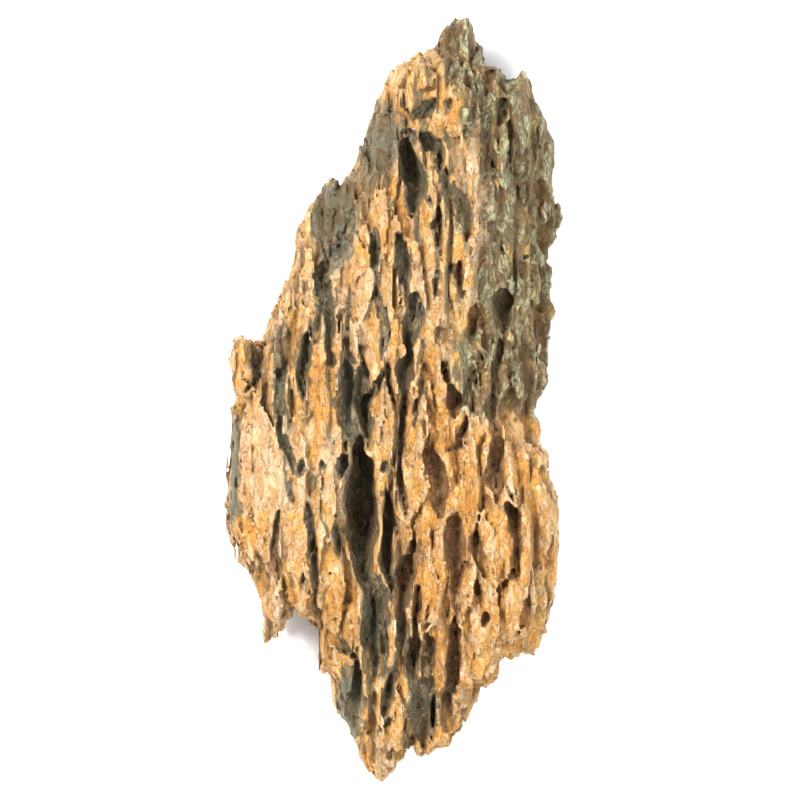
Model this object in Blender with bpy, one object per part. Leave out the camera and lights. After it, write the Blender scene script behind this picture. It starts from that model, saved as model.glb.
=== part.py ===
"""A dragon stone: one clay-rich slab of rock, fluted and pitted along its length, lying on its back.

The design is written in millimetres, and MM turns it into Blender's metres. X runs across the stone, Y
along it towards its peak, and Z up from the surface that it rests on. The origin is the middle of the
stone's central resting pad.

The stone is a field: a number at each point of space that is positive inside the rock and is roughly the
depth in millimetres. Each form adds to the field or carves it, and the skin is drawn where it is zero.
"""

import math
from dataclasses import dataclass

import bmesh
import bpy
import numpy as np

MM = 0.001
GRID_STEP = 1.9  # spacing of the points that the field is worked out on
MOST_TRIANGLES = 9400

# The slab
FRONT_HEIGHT = 50.0  # of the face, before its swells
BACK_HEIGHT = 3.0  # of the underside between its pads
FRONT_ROUND = 22.0  # radius of the edge between the face and the flank
BACK_ROUND = 12.0
RIM_SOFTNESS = 0.5  # how far the rim of a pit is worn round
BLUNT_END = 0.55  # power of a pit's outline at its upper end
POINTED_END = 0.9
FLOOR_RISE = 0.4  # how far a pit's floor rises towards its lower end, as a share of its depth
UNDERCUT = 0.35  # how far a pit runs up the stone for each millimetre that it goes in
FILLED_DEPTH = 0.02  # depth of a point that is filled to keep the skin simple
BAND = 9.0  # depth of skin that the plates and the waves shape

# The plan, clockwise from the peak
OUTLINE = [
    (27, 153.5), (30.5, 153), (33.5, 148), (36.5, 142), (37.5, 136), (44, 133), (46, 130.5),
    (51, 130), (53, 132.5), (55.5, 129.5), (57, 125), (58.5, 119.5), (61, 116), (63.5, 109.5),
    (65.5, 101.5), (65, 89), (65.5, 83), (68, 80), (69, 74), (67.5, 67), (65, 62), (63.5, 52),
    (63, 40), (65, 36), (63.5, 31), (63, 20), (62.5, 6), (59, -1), (58.5, -5.5), (60.5, -12),
    (59.5, -17), (63, -22.5), (63, -32), (66, -37), (67, -46), (66.5, -58), (66, -70), (64, -82),
    (61, -92), (59, -99), (56.5, -102), (52.5, -99.5), (51, -103), (45, -105), (43.5, -110),
    (39, -115.5), (36.5, -116), (34.5, -122), (30.5, -129), (27, -136), (23, -139.5), (18.5, -140),
    (16, -143), (4, -143), (0.5, -149.5), (-4, -153.5), (-7.5, -149), (-11, -144), (-13, -138.5),
    (-15, -133), (-19, -128), (-22, -121), (-23.5, -113), (-28, -109), (-28.5, -102), (-28, -93),
    (-29.5, -89.5), (-37, -90), (-41.5, -88.5), (-46, -95), (-51, -92.5), (-51, -85),
    (-53.5, -78.5), (-57, -69), (-61, -64), (-61.5, -59), (-65, -52), (-66, -42), (-65, -31),
    (-63.5, -22), (-63, -10), (-64, -3), (-61.5, 2), (-64, 9), (-61.5, 17.5), (-56, 24),
    (-51, 22.5), (-49, 30), (-44.5, 40), (-40.5, 50), (-38.5, 55), (-37, 69), (-32, 77.5),
    (-27, 85), (-23, 89), (-21, 88.5), (-20.5, 85.5), (-14.5, 92), (-11.5, 99), (-10.5, 106.5),
    (-7, 113.5), (-4, 121), (-1.5, 127), (2.5, 133), (9.5, 137), (14, 140.5), (17, 141.5),
    (19, 141), (21, 147), (25, 151),
]


@dataclass(frozen=True)
class Swell:
    """A broad rise of the face, or a fall where height is negative. across and along are its radii."""

    x: float
    y: float
    across: float
    along: float
    height: float


@dataclass(frozen=True)
class Pit:
    """A lens-shaped hollow. lean is how many degrees its upper end turns towards +X."""

    x: float
    y: float
    length: float
    width: float
    depth: float
    lean: float = 0.0


@dataclass(frozen=True)
class Boss:
    """A lens-shaped lump whose crown stands rise above the face, or below it where rise is negative."""

    x: float
    y: float
    length: float
    width: float
    rise: float
    lean: float = 0.0


@dataclass(frozen=True)
class Calm:
    """A patch of the face where the plates have less relief. across and along are its radii."""

    x: float
    y: float
    across: float
    along: float
    share: float


SWELLS = [
    Swell(34, -62, 34, 46, 8),  # the right face, which stands proud below the step
    Swell(-44, -40, 22, 50, 2),  # the left plates
    Swell(66, 60, 26, 66, -17),  # the upper right, which turns away
    Swell(20, 60, 18, 60, 4),
    Swell(-24, 62, 13, 32, -10),  # the left shoulder, which lies back
    Swell(-12, -45, 12, 52, -5),  # the valley of the main crack
    Swell(10, 118, 14, 18, 5),  # the crown
    Swell(0, 96, 12, 12, -6),
    Swell(8, -128, 34, 22, -9),  # the tail
    Swell(-60, -10, 12, 60, -8),
    Swell(32, 144, 12, 14, -5),
]

CROWN_PITS = [
    Pit(47, 127, 10, 6.5, 9), Pit(46, 116, 9, 3.5, 7), Pit(13, 114, 12, 5, 8, 50),
    Pit(23.5, 139, 11, 2, 4, 108), Pit(57.5, 106.5, 4, 3.2, 4), Pit(27, 131.5, 6, 1.6, 3, 90),
    Pit(31, 128, 11, 2, 4, 5), Pit(23, 115, 8, 5, 2.5, 20), Pit(-1.5, 115, 6, 2, 4),
    Pit(37, 107.5, 5, 2, 3), Pit(47.5, 107, 10, 1.6, 3), Pit(-0.5, 103, 26, 7, 4.5, 3),
    Pit(-9.5, 100, 34, 6.5, 4, -14), Pit(8.5, 87, 32, 9, 19, -2), Pit(17, 101.5, 14, 6, 11, -40),
    Pit(9, 104, 8, 5, 8, -30), Pit(-3, 94, 7, 3.5, 3), Pit(-10.5, 85.5, 6, 3, 4, 35),
]

SHOULDER_PITS = [
    Pit(-22, 72, 36, 11, 4.5, 12), Pit(-25, 32, 32, 6, 7, 5), Pit(-10, 73, 13, 4, 3),
    Pit(-7, 58.5, 19, 5.4, 7), Pit(5.5, 52, 29, 4.6, 6, -12), Pit(-31, 69, 11, 3.2, 5, 8),
    Pit(-27, 62, 5, 3.4, 4), Pit(-20, 65.5, 15, 2.6, 6, 28), Pit(-22, 58.5, 5.5, 5, 7),
    Pit(-27.5, 48, 18, 3.8, 8, 8), Pit(-4.5, 48, 8, 2.6, 5), Pit(-16, 65.5, 26, 2.2, 6, 3),
    Pit(1, 76, 8, 1.4, 2), Pit(-23, 37, 9, 2.8, 4), Pit(-24.5, 22, 14, 1.5, 4), Pit(-24, 15, 6, 3.4, 6),
    Pit(-16.5, 34, 22, 1.5, 4, 2), Pit(-17, 22, 6, 2.8, 4), Pit(-15, 16, 8, 2.4, 5, -25),
    Pit(-2.5, 26.5, 21, 3.2, 5, 4), Pit(-5, 39, 14, 3, 4, -12), Pit(-1, 9, 10, 2, 3),
    Pit(-11.5, 20.5, 3, 2.4, 2),
]

LEFT_PITS = [
    Pit(-53, 17, 16, 5.4, 11, 4), Pit(-54.5, 6.5, 11, 2.2, 5, 38), Pit(-42.5, 15, 24, 3.2, 7, 10),
    Pit(-44, -4, 30, 3.8, 7, -5), Pit(-40.5, -21, 20, 2.8, 5, -14), Pit(-34.5, 13, 31, 4.4, 9, 6),
    Pit(-35.5, -28, 6.5, 3.8, 6), Pit(-27, -27, 4, 2, 4), Pit(-31, -33, 6, 2.6, 4, 25),
    Pit(-39.5, -37, 11, 2, 4, -8), Pit(-32.5, -49, 16, 3.4, 5, -4), Pit(-30, -66.5, 32, 2.4, 5, -3),
    Pit(-46, -57, 26, 2.6, 5, 6), Pit(-49.5, -73, 16, 2.2, 4, 4), Pit(-45, -67.5, 10, 2.6, 5),
    Pit(-20.5, -54.5, 16, 2.2, 4, -6), Pit(-31, -61, 8, 2.4, 4), Pit(-59, -59.5, 10, 2.8, 5, 10),
    Pit(-61, -44, 20, 2.2, 5, -12), Pit(-61.5, -20, 22, 2.6, 5, 6), Pit(-55, -75, 7, 2.8, 4),
    Pit(-41.5, -80, 7, 1.4, 3, -35), Pit(-35, -73, 10, 1.8, 3, 5), Pit(-39, -73, 6, 1.4, 2),
    Pit(-39, -86, 7, 3.2, 9), Pit(-29, -85.5, 11, 2.8, 9), Pit(-48, -91, 7, 1.6, 4),
]

CENTRE_PITS = [
    Pit(-13, -7, 42, 11.5, 7), Pit(-17.5, -2, 34, 5.8, 12, -3), Pit(-11, -2, 27, 6.4, 11, -4),
    Pit(-8, -9, 19, 5.2, 18), Pit(-5.5, 5, 16, 2.6, 8, 26), Pit(-19, -27.5, 10, 4.6, 12),
    Pit(-10.6, -49, 66, 11.4, 25, -2), Pit(-0.6, -58, 43, 5.4, 15), Pit(-1.5, -27, 5, 3.8, 5),
    Pit(-7, -96, 37, 5, 12, -2), Pit(-6, -89, 40, 11, 8), Pit(9.5, 30, 25, 7.8, 10, 10),
    Pit(6.5, 11, 30, 6.2, 10, 6), Pit(4.5, -11, 33, 3.8, 9, 8), Pit(5, -34, 29, 2.8, 7, -4),
]

UPPER_RIGHT_PITS = [
    Pit(22.5, 84, 16, 2.8, 7), Pit(28, 74, 24, 6.4, 7, -8), Pit(18.5, 67, 23, 3.4, 7, -2),
    Pit(16, 78, 8, 1.6, 4, -35), Pit(19, 95, 13, 3, 8), Pit(24, 51.5, 4.4, 2.4, 6),
    Pit(28, 47, 17, 2.8, 5, -3), Pit(18.5, 48, 20, 1.5, 4, 3), Pit(41, 93, 9, 1.8, 4, -20),
    Pit(54.5, 89, 12, 2, 4, 5), Pit(62, 85, 7, 4.2, 9, -15), Pit(52.5, 75, 20, 2, 5, -4),
    Pit(56.5, 72, 17, 1.8, 4, 3), Pit(49, 65, 10, 3.8, 5, -15), Pit(49, 75, 5, 3.2, 4, 30),
    Pit(58.5, 59.5, 16, 2, 5, 66), Pit(52, 52, 8, 2.4, 4), Pit(42, 63, 10, 2.8, 4),
    Pit(45.5, 47, 4.5, 2.4, 4, -40), Pit(32.5, 29, 16, 5.6, 8, 6), Pit(44, 35.5, 18, 8.8, 14),
    Pit(43.5, 17, 14, 4, 8), Pit(33.5, 8, 9, 2.6, 5, -10), Pit(23, 9, 17, 3, 7, -10),
    Pit(25, -1, 15, 6.2, 10), Pit(30.5, 3, 10, 2.2, 4, 12), Pit(41, -7, 21, 5.2, 8, -4),
    Pit(53, 17.5, 9, 2.6, 4, 25), Pit(55, 29, 10, 2.6, 3), Pit(57, -3.5, 5, 3, 5),
    Pit(20.5, 25.5, 7.5, 6, 4, -30), Pit(12.5, 6, 14, 1.4, 3, 2), Pit(10.5, -5.5, 13, 2.4, 3, 8),
    Pit(29, -13, 13, 2.2, 7, 12), Pit(26, -19, 7, 2, 6, 65),
]

RIGHT_PITS = [
    Pit(18.5, -33, 30, 8.8, 10, -8), Pit(42, -27, 29, 5.4, 10), Pit(25, -59, 27, 10, 9, -4),
    Pit(27, -71, 16, 2.8, 6, 18), Pit(27, -33, 10, 2.2, 4, -5), Pit(29.5, -43, 15, 6, 3),
    Pit(33, -34, 3.4, 2.8, 2), Pit(37.5, -41.5, 4.5, 2, 4), Pit(47.5, -48.5, 16, 5.8, 12, -6),
    Pit(49, -39, 10, 1.6, 5, -28), Pit(50, -62, 18, 6, 5), Pit(49, -69.5, 5, 3.8, 7),
    Pit(34, -59, 15, 4, 8, -6), Pit(8, -60.5, 10, 2.6, 8), Pit(10.5, -62.5, 15, 3.6, 3, 8),
    Pit(61.5, -41, 12, 2, 5, 20), Pit(58.5, -23.5, 3, 2, 4), Pit(57, -53, 23, 2.2, 4, -6),
    Pit(54.5, -18.5, 5, 1.4, 3, 75), Pit(31, -65.5, 3, 2.2, 4), Pit(34.5, -76, 10, 2.8, 6),
    Pit(43, -75, 9, 1.8, 4, 45), Pit(38, -87, 6.5, 3, 6, 20), Pit(52.5, -85, 13, 3.4, 9, 12),
    Pit(57, -75.5, 6, 1.6, 3), Pit(54, -97, 3.4, 2.2, 4), Pit(39.5, -107.5, 5, 2.2, 4),
    Pit(15, -90.5, 5, 2, 2, 20),
]

TAIL_PITS = [
    Pit(5, -75, 26, 6.6, 16, 8), Pit(10.5, -82.5, 16, 3.2, 9, 6), Pit(5, -93.5, 16, 5.2, 10, 4),
    Pit(-20, -98, 21, 3.6, 10, -50), Pit(-15, -119, 31, 7, 10, 3), Pit(-1.5, -102, 25, 3, 7),
    Pit(0.5, -117, 22, 3.8, 10, 12), Pit(9.5, -105, 32, 5.2, 13, 2), Pit(14.5, -102, 17, 4.6, 10),
    Pit(13.5, -125, 29, 9.6, 10), Pit(17.5, -129, 19, 2.6, 14, 4), Pit(25, -106, 42, 6.2, 11, 3),
    Pit(24.5, -126, 18, 4.8, 9, 2), Pit(27, -81, 8, 2.8, 5), Pit(9, -132.5, 6, 3, 4),
    Pit(16, -137, 5, 4.6, 6), Pit(-3.5, -132, 13, 1.4, 3, 42), Pit(-9, -121.5, 6, 3.2, 4),
    Pit(-8, -143, 11, 2, 4, -12), Pit(-21.5, -106, 14, 1.8, 4, 8), Pit(-12.5, -131, 9, 2.2, 5),
]

FACE_PITS = (
    CROWN_PITS + SHOULDER_PITS + LEFT_PITS + CENTRE_PITS + UPPER_RIGHT_PITS + RIGHT_PITS + TAIL_PITS
)

BOSSES = [
    Boss(28, 140, 22, 12, -7.0, 10),  # the peak's cap
    Boss(9, 121, 24, 13, 3.0, 25),  # the block that overhangs the upper hole
    Boss(-3.5, 82, 22, 12, 2.0, 10),
    Boss(24.5, 44, 20, 7, 2.5, -3),
    Boss(-59, 13, 22, 8, 2.0, -6),  # the knob on the left edge
    Boss(-51, -24, 42, 17, 2.0, -4),  # the broad smooth plate
    Boss(-17, -86, 28, 15, 2.0, -12),
    Boss(14.5, -89, 8, 7, 2.0),
    Boss(5.5, -60, 12, 5, 1.0, 8),
    Boss(14.5, -112, 8, 4, -4.0, -20),  # two flakes left standing in the tail's hollow
    Boss(13, -126.5, 15, 5, -3.0),
    Boss(-48, -88, 14, 5, 1.5, 10),
]

# Pits on the flanks and the underside, spread by chance
FLANK_PITS = 170
BACK_PITS = 60
FLANK_HEIGHTS = (5.0, 44.0)
SIDE_SEED = 7
PIT_LENGTHS = (9.0, 30.0)
PIT_SLENDERNESS = (3.0, 6.0)  # length for each millimetre of width
FLANK_DEPTHS = (0.6, 1.3)  # depth for each millimetre of width
BACK_DEPTHS = (0.5, 0.9)
BACK_REACH = (50.0, 130.0)  # how far from the middle the pits of the underside lie
BACK_MARGIN = 10.0  # how far they stay from the outline

# The plates: overlapping slivers that the stone splits into, long in Y. Each rises to the right and to the
# top, and breaks off there.
PLATE_SIZE = (11.0, 38.0, 11.0)
PLATE_STEP = 1.6  # difference in height between one plate and the next
PLATE_RISE_ACROSS = (4.6, 1.8)  # rise over a plate's width: the usual, and how much it varies
PLATE_RISE_ALONG = (1.6, 2.4)
PLATE_CROWN = 0.8  # how far a plate's edges fall
PLATE_BEND = 3.6  # how far the waves push the plates about
PLATE_SEED = 3
RIM_WIDTH = 14.0  # how far in from the outline the plates reach their full relief
RIM_SHARE = 0.45  # share of their relief that they have at the outline

# The waves that bend the plates, and the flutes with sharp crests between them
WAVE_SIZE = (12.0, 22.0, 12.0)
WAVE_HEIGHT = 1.2
WAVE_SEED = 11
FLUTE_SIZE = (8.0, 34.0, 8.0)
FLUTE_HEIGHT = 2.6
FLUTE_CREST = 0.45  # height of a crest as a share of FLUTE_HEIGHT
FLUTE_FALL = 1.8
FLUTE_BEND = 3.0
FLUTE_SEED = 13

# How the walls of a pit wander: the height, the wave's length and the seed of each wave
WOBBLES = [(2.2, (9.0, 15.0, 20.0), 31), (1.1, (3.5, 5.5, 20.0), 32)]
WOBBLE_WIDTH = 6.0  # a pit narrower than this wanders less

# Where the face is smoother
CALMS = [
    Calm(-50, -26, 13, 24, 0.85), Calm(-47, -62, 12, 18, 0.45), Calm(46, -50, 22, 44, 0.3),
    Calm(-24, -30, 8, 16, 0.3), Calm(20, 50, 8, 40, 0.3),
]

# The stone rests on pads, worn flat. Each is its middle and its radius.
PADS = [(0.0, 0.0, 17.0), (20.0, 84.0, 12.0), (26.0, -76.0, 13.0), (-40.0, -34.0, 12.0)]
PAD_SINK = 1.6  # how far a pad reaches below the floor before it is cut flat

LOW = np.array([-76.0, -160.0, -8.0])
HIGH = np.array([76.0, 160.0, 74.0])


def smooth_step(value):
    """0 below 0 and 1 above 1, with a smooth rise between."""
    t = np.clip(value, 0.0, 1.0)
    return t * t * (3.0 - 2.0 * t)


def smooth_least(a, b, softness):
    """The lesser of two fields, with the edge where they meet worn round."""
    share = np.clip(0.5 + 0.5 * (b - a) / softness, 0.0, 1.0)
    return b + (a - b) * share - softness * share * (1.0 - share)


def smooth_most(a, b, softness):
    """The greater of two fields, with the crease where they meet filled."""
    return -smooth_least(-a, -b, softness)


def inset(x, y):
    """How far each point of the plan lies inside the outline, negative outside."""
    least = np.full(np.broadcast(x, y).shape, np.inf)
    inside = np.zeros(least.shape, bool)
    for (ax, ay), (bx, by) in zip(OUTLINE, OUTLINE[1:] + OUTLINE[:1]):
        ux, uy = bx - ax, by - ay
        along = np.clip(((x - ax) * ux + (y - ay) * uy) / (ux * ux + uy * uy), 0.0, 1.0)
        least = np.minimum(least, np.hypot(x - ax - along * ux, y - ay - along * uy))
        if uy:
            crosses = ((ay > y) != (by > y)) & (x < ax + (y - ay) * ux / uy)
            inside ^= crosses
    return np.where(inside, least, -least)


def hill(form, x, y):
    """A soft hill over the plan, 1 at the form's middle and fading over its radii."""
    return np.exp(-(((x - form.x) / form.across) ** 2) - ((y - form.y) / form.along) ** 2)


def face_height(x, y):
    """Height of the smooth face over the plan."""
    height = FRONT_HEIGHT + np.zeros(np.broadcast(x, y).shape)
    for swell in SWELLS:
        height += swell.height * hill(swell, x, y)
    return height


def back_height(x, y):
    """Height of the smooth underside over the plan: it dips through the floor at each pad."""
    height = BACK_HEIGHT + np.zeros(np.broadcast(x, y).shape)
    for pad_x, pad_y, radius in PADS:
        reach = np.hypot(x - pad_x, y - pad_y) / radius
        height -= (BACK_HEIGHT + PAD_SINK) * smooth_step(2.0 - 1.5 * reach)
    return height


def slab(x, y, z):
    """The field of the smooth slab, before anything wears it."""
    edge = inset(x, y)
    top, bottom = face_height(x, y), back_height(x, y)
    upper = z > (top + bottom) / 2
    rounding = np.where(upper, FRONT_ROUND, BACK_ROUND)
    to_side = rounding - edge
    to_face = rounding - np.where(upper, top - z, z - bottom)
    corner = np.hypot(np.maximum(to_side, 0.0), np.maximum(to_face, 0.0))
    return rounding - corner - np.minimum(np.maximum(to_side, to_face), 0.0)


def calmness(x, y):
    """Share of the plates' relief that is missing at each point of the plan."""
    total = np.zeros(x.shape)
    for calm in CALMS:
        total += calm.share * hill(calm, x, y)
    return np.clip(total, 0.0, 1.0)


def wave(points, size, seed):
    """Smooth noise from -1 to 1. points are three arrays, and size is a wave's length along X, Y and Z."""
    size = np.asarray(size)
    count = np.ceil((HIGH - LOW) / size).astype(int) + 3
    heights = np.random.default_rng(seed).uniform(-1.0, 1.0, count)
    cells, parts = [], []
    for value, low, length, most in zip(points, LOW, size, count):
        place = np.clip((value - low) / length + 0.5, 0.0, most - 1.001)
        cell = place.astype(int)
        cells.append(cell)
        parts.append(smooth_step(place - cell))
    total = 0.0
    for corner in np.ndindex(2, 2, 2):
        weight = 1.0
        for part, side in zip(parts, corner):
            weight = weight * (part if side else 1.0 - part)
        total = total + weight * heights[tuple(cell + side for cell, side in zip(cells, corner))]
    return total


def plates(points, size, seed):
    """Relief of the plates, in millimetres: each point takes the height and tilt of its nearest plate."""
    size = np.asarray(size)
    count = np.ceil((HIGH - LOW) / size).astype(int) + 5
    random = np.random.default_rng(seed)
    middles = random.uniform(0.15, 0.85, (*count, 3))
    traits = random.uniform(-1.0, 1.0, (*count, 4))
    places = [(value - low) / length + 2.0 for value, low, length in zip(points, LOW, size)]
    cells = [np.clip(place.astype(int), 1, most - 2) for place, most in zip(places, count)]
    nearest = np.full(places[0].shape, np.inf)
    relief = np.zeros(places[0].shape)
    for shift in np.ndindex(3, 3, 3):
        cell = tuple(c + s - 1 for c, s in zip(cells, shift))
        middle = np.moveaxis(middles[cell], -1, 0)
        apart = [place - c - m for place, c, m in zip(places, cell, middle)]
        distance = apart[0] ** 2 + apart[1] ** 2 + apart[2] ** 2
        trait = traits[cell]
        height = PLATE_STEP * trait[..., 0] - PLATE_CROWN * distance
        height += (PLATE_RISE_ACROSS[0] + PLATE_RISE_ACROSS[1] * trait[..., 1]) * apart[0]
        height += (PLATE_RISE_ALONG[0] + PLATE_RISE_ALONG[1] * trait[..., 2]) * apart[1]
        closer = distance < nearest
        relief = np.where(closer, height, relief)
        nearest = np.where(closer, distance, nearest)
    return relief


class Stone:
    """The field of the stone on a regular grid."""

    def __init__(self, step):
        self.step = step
        self.axes = [np.arange(low, high, step) for low, high in zip(LOW, HIGH)]
        x, y, z = np.ix_(*self.axes)
        self.body = slab(x, y, z)
        self.field = self.body.copy()
        self.edge = inset(x[..., 0], y[..., 0])
        plan = np.broadcast_arrays(x, y, np.zeros((1, 1, 1)))
        self.wobble = sum(height * wave(plan, size, seed) for height, size, seed in WOBBLES)

    def box(self, middle, reach):
        """The slices of the grid within reach of middle, and the offsets of their points from it."""
        slices = tuple(
            slice(*np.searchsorted(axis, (centre - far, centre + far)))
            for axis, centre, far in zip(self.axes, middle, reach)
        )
        offsets = np.ix_(*(axis[part] - centre for axis, part, centre in zip(self.axes, slices, middle)))
        return slices, offsets

    def lens(self, middle, reach, along, across, length, width, depth):
        """Distance from a lens sunk into the slab, negative inside. along and across are unit vectors."""
        slices, offsets = self.box(middle, reach)
        below = self.body[slices]
        run = sum(a * o for a, o in zip(along, offsets)) - UNDERCUT * np.maximum(below, 0.0)
        side = sum(a * o for a, o in zip(across, offsets))
        side = side + self.wobble[slices[:2]] * min(1.0, width / WOBBLE_WIDTH)
        share = np.clip(np.abs(run) / (length / 2), 0.0, 1.0)
        half = (width / 2) * (1.0 - share**2) ** np.where(run > 0.0, BLUNT_END, POINTED_END)
        beyond = np.maximum(np.abs(run) - length / 2, 0.0)
        floor = depth * np.sqrt(1.0 - 0.9 * share**3) * np.where(run > 0.0, 1.0, 1.0 - FLOOR_RISE * share)
        deep = np.maximum(below, 0.0) * np.maximum(half, 0.3) / floor
        return slices, np.sqrt(side**2 + deep**2 + beyond**2) - half

    def carve(self, middle, reach, along, across, length, width, depth):
        slices, away = self.lens(middle, reach, along, across, length, width, depth)
        self.field[slices] = smooth_least(self.field[slices], away, RIM_SOFTNESS)

    def carve_face(self, pit):
        """Carves a pit of the face, which goes straight down."""
        lean = math.radians(pit.lean)
        along, across = (math.sin(lean), math.cos(lean), 0.0), (math.cos(lean), -math.sin(lean), 0.0)
        top = float(face_height(np.array(pit.x), np.array(pit.y)))
        wide = pit.length / 2 + UNDERCUT * pit.depth + 3.0
        high = pit.depth + 3.0
        middle = (pit.x, pit.y, top)
        self.carve(middle, (wide, wide, high), along, across, pit.length, pit.width, pit.depth)

    def carve_side(self, point, outward, length, width, depth):
        """Carves a pit of the flank or the underside, which goes in against outward."""
        grain = np.array([0.0, 1.0, 0.0])
        along = grain - outward * (grain @ outward)
        if np.linalg.norm(along) < 0.6:
            along = np.array([0.0, 0.0, 1.0])
        along /= np.linalg.norm(along)
        reach = (length / 2 + depth,) * 3
        self.carve(point, reach, along, np.cross(outward, along), length, width, depth)

    def raise_boss(self, boss):
        """Adds a lump to the face."""
        lean = math.radians(boss.lean)
        top = float(face_height(np.array(boss.x), np.array(boss.y)))
        tall = 3.0 + max(boss.width / 2, boss.rise)
        wide = boss.length / 2 + 4.0
        middle = (boss.x, boss.y, top + boss.rise - tall)
        slices, (dx, dy, dz) = self.box(middle, (wide, wide, tall + 4.0))
        run = (dx * math.sin(lean) + dy * math.cos(lean)) / (boss.length / 2)
        side = (dx * math.cos(lean) - dy * math.sin(lean)) / (boss.width / 2)
        lump = (1.0 - np.sqrt(run**2 + side**2 + (dz / tall) ** 2)) * boss.width / 2
        self.field[slices] = smooth_most(self.field[slices], lump, 1.5)

    def wear(self):
        """Shapes the skin with the plates and the waves."""
        near = np.nonzero(np.abs(self.field) < BAND)
        points = [axis[index] for axis, index in zip(self.axes, near)]
        bent = wave(points, WAVE_SIZE, WAVE_SEED)
        relief = WAVE_HEIGHT * bent
        relief += plates([value + PLATE_BEND * bent for value in points], PLATE_SIZE, PLATE_SEED)
        flutes = wave([value + FLUTE_BEND * bent for value in points], FLUTE_SIZE, FLUTE_SEED)
        relief += FLUTE_HEIGHT * (FLUTE_CREST - FLUTE_FALL * np.abs(flutes))
        rim = RIM_SHARE + (1.0 - RIM_SHARE) * smooth_step(self.edge[near[:2]] / RIM_WIDTH)
        self.field[near] += relief * rim * (1.0 - calmness(points[0], points[1]))


def rim_places(shares):
    """The outline's points at these shares of the way round it, and the outward direction at each."""
    corners = np.array(OUTLINE, float)
    sides = np.roll(corners, -1, axis=0) - corners
    lengths = np.hypot(*sides.T)
    ends = np.cumsum(lengths)
    side = np.searchsorted(ends, shares * ends[-1])
    left_over = (ends[side] - shares * ends[-1]) / lengths[side]
    points = corners[side] + sides[side] * (1.0 - left_over)[:, None]
    return points, np.stack([-sides[side, 1], sides[side, 0]], axis=1) / lengths[side][:, None]


def side_pits():
    """Pits spread over the flanks and the underside, as (point, outward, length, width, depth)."""
    random = np.random.default_rng(SIDE_SEED)
    points, outward = rim_places(random.uniform(0.0, 1.0, FLANK_PITS))
    for (x, y), (out_x, out_y) in zip(points, outward):
        z = random.uniform(*FLANK_HEIGHTS)
        for _ in range(6):
            sunk = float(slab(np.array(x), np.array(y), np.array(z)))
            x, y = x + out_x * sunk, y + out_y * sunk
        length = random.uniform(*PIT_LENGTHS)
        width = length / random.uniform(*PIT_SLENDERNESS)
        depth = width * random.uniform(*FLANK_DEPTHS)
        yield np.array([x, y, z]), np.array([out_x, out_y, 0.0]), length, width, depth
    for _ in range(BACK_PITS):
        x, y = (random.uniform(-reach, reach) for reach in BACK_REACH)
        length = random.uniform(*PIT_LENGTHS)
        width = length / random.uniform(*PIT_SLENDERNESS)
        if inset(np.array(x), np.array(y)) > BACK_MARGIN:
            point = np.array([x, y, float(back_height(np.array(x), np.array(y)))])
            depth = width * random.uniform(*BACK_DEPTHS)
            yield point, np.array([0.0, 0.0, -1.0]), length, width, depth


def shifted(array, axes, shift):
    """The array without its last layer along two axes, or without its first where shift is 1."""
    index = [slice(None)] * 3
    for axis, offset in zip(axes, shift):
        index[axis] = slice(offset, array.shape[axis] - 1 + offset)
    return array[tuple(index)]


def fill_pinches(field):
    """Fills the points where the rock would touch itself only along an edge, so that the skin is simple."""
    inside = field > 0
    filled = True
    while filled:
        filled = False
        for axes in ((0, 1), (0, 2), (1, 2)):
            for first, second in (((0, 0), (1, 1)), ((0, 1), (1, 0))):
                third, fourth = (first[0], second[1]), (second[0], first[1])
                pinched = shifted(inside, axes, first) & shifted(inside, axes, second)
                pinched &= ~shifted(inside, axes, third) & ~shifted(inside, axes, fourth)
                if pinched.any():
                    shifted(inside, axes, third)[pinched] = True
                    filled = True
    return np.where(inside & (field <= 0), FILLED_DEPTH, field)


def skin(stone, field):
    """The surface where the field is zero: a point in each cell it crosses, and a face across each edge."""
    corners = list(np.ndindex(2, 2, 2))
    shape = [n - 1 for n in field.shape]
    values = [field[tuple(slice(c, c + n) for c, n in zip(corner, shape))] for corner in corners]
    inside = np.stack([value > 0 for value in values])
    crossed = inside.any(axis=0) & ~inside.all(axis=0)
    cells = np.argwhere(crossed)
    at = np.stack([value[crossed] for value in values])
    total, count = np.zeros((len(cells), 3)), np.zeros(len(cells))
    for a, first in enumerate(corners):
        for b, second in enumerate(corners):
            if b <= a or sum(abs(p - q) for p, q in zip(first, second)) != 1:
                continue
            crossing = (at[a] > 0) != (at[b] > 0)
            share = np.where(crossing, at[a] / np.where(crossing, at[a] - at[b], 1.0), 0.0)
            place = np.array(first) + share[:, None] * (np.array(second) - np.array(first))
            total += np.where(crossing[:, None], place, 0.0)
            count += crossing
    points = (cells + total / count[:, None]) * stone.step + LOW
    number = np.full(shape, -1)
    number[crossed] = np.arange(len(cells))
    faces = []
    for axis in range(3):
        order = (axis, (axis + 1) % 3, (axis + 2) % 3)
        low = np.moveaxis(field, order, (0, 1, 2))
        numbers = np.moveaxis(number, order, (0, 1, 2))
        a, b = low[:-1, 1:-1, 1:-1] > 0, low[1:, 1:-1, 1:-1] > 0
        ring = [numbers[:, :-1, :-1], numbers[:, 1:, :-1], numbers[:, 1:, 1:], numbers[:, :-1, 1:]]
        for leaving, turn in ((a & ~b, 1), (~a & b, -1)):
            faces.append(np.stack([part[leaving] for part in ring], axis=1)[:, ::turn])
    return points, np.concatenate(faces)


def keep_largest(body):
    """Deletes every island of faces except the largest. Islands that share only a point are apart."""
    unseen, islands = set(body.faces), []
    while unseen:
        edge, island = [unseen.pop()], []
        while edge:
            face = edge.pop()
            island.append(face)
            for other in (near for side in face.edges for near in side.link_faces):
                if other in unseen:
                    unseen.remove(other)
                    edge.append(other)
        islands.append(island)
    islands.sort(key=len)
    bmesh.ops.delete(body, geom=[face for island in islands[:-1] for face in island], context="FACES")


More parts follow.
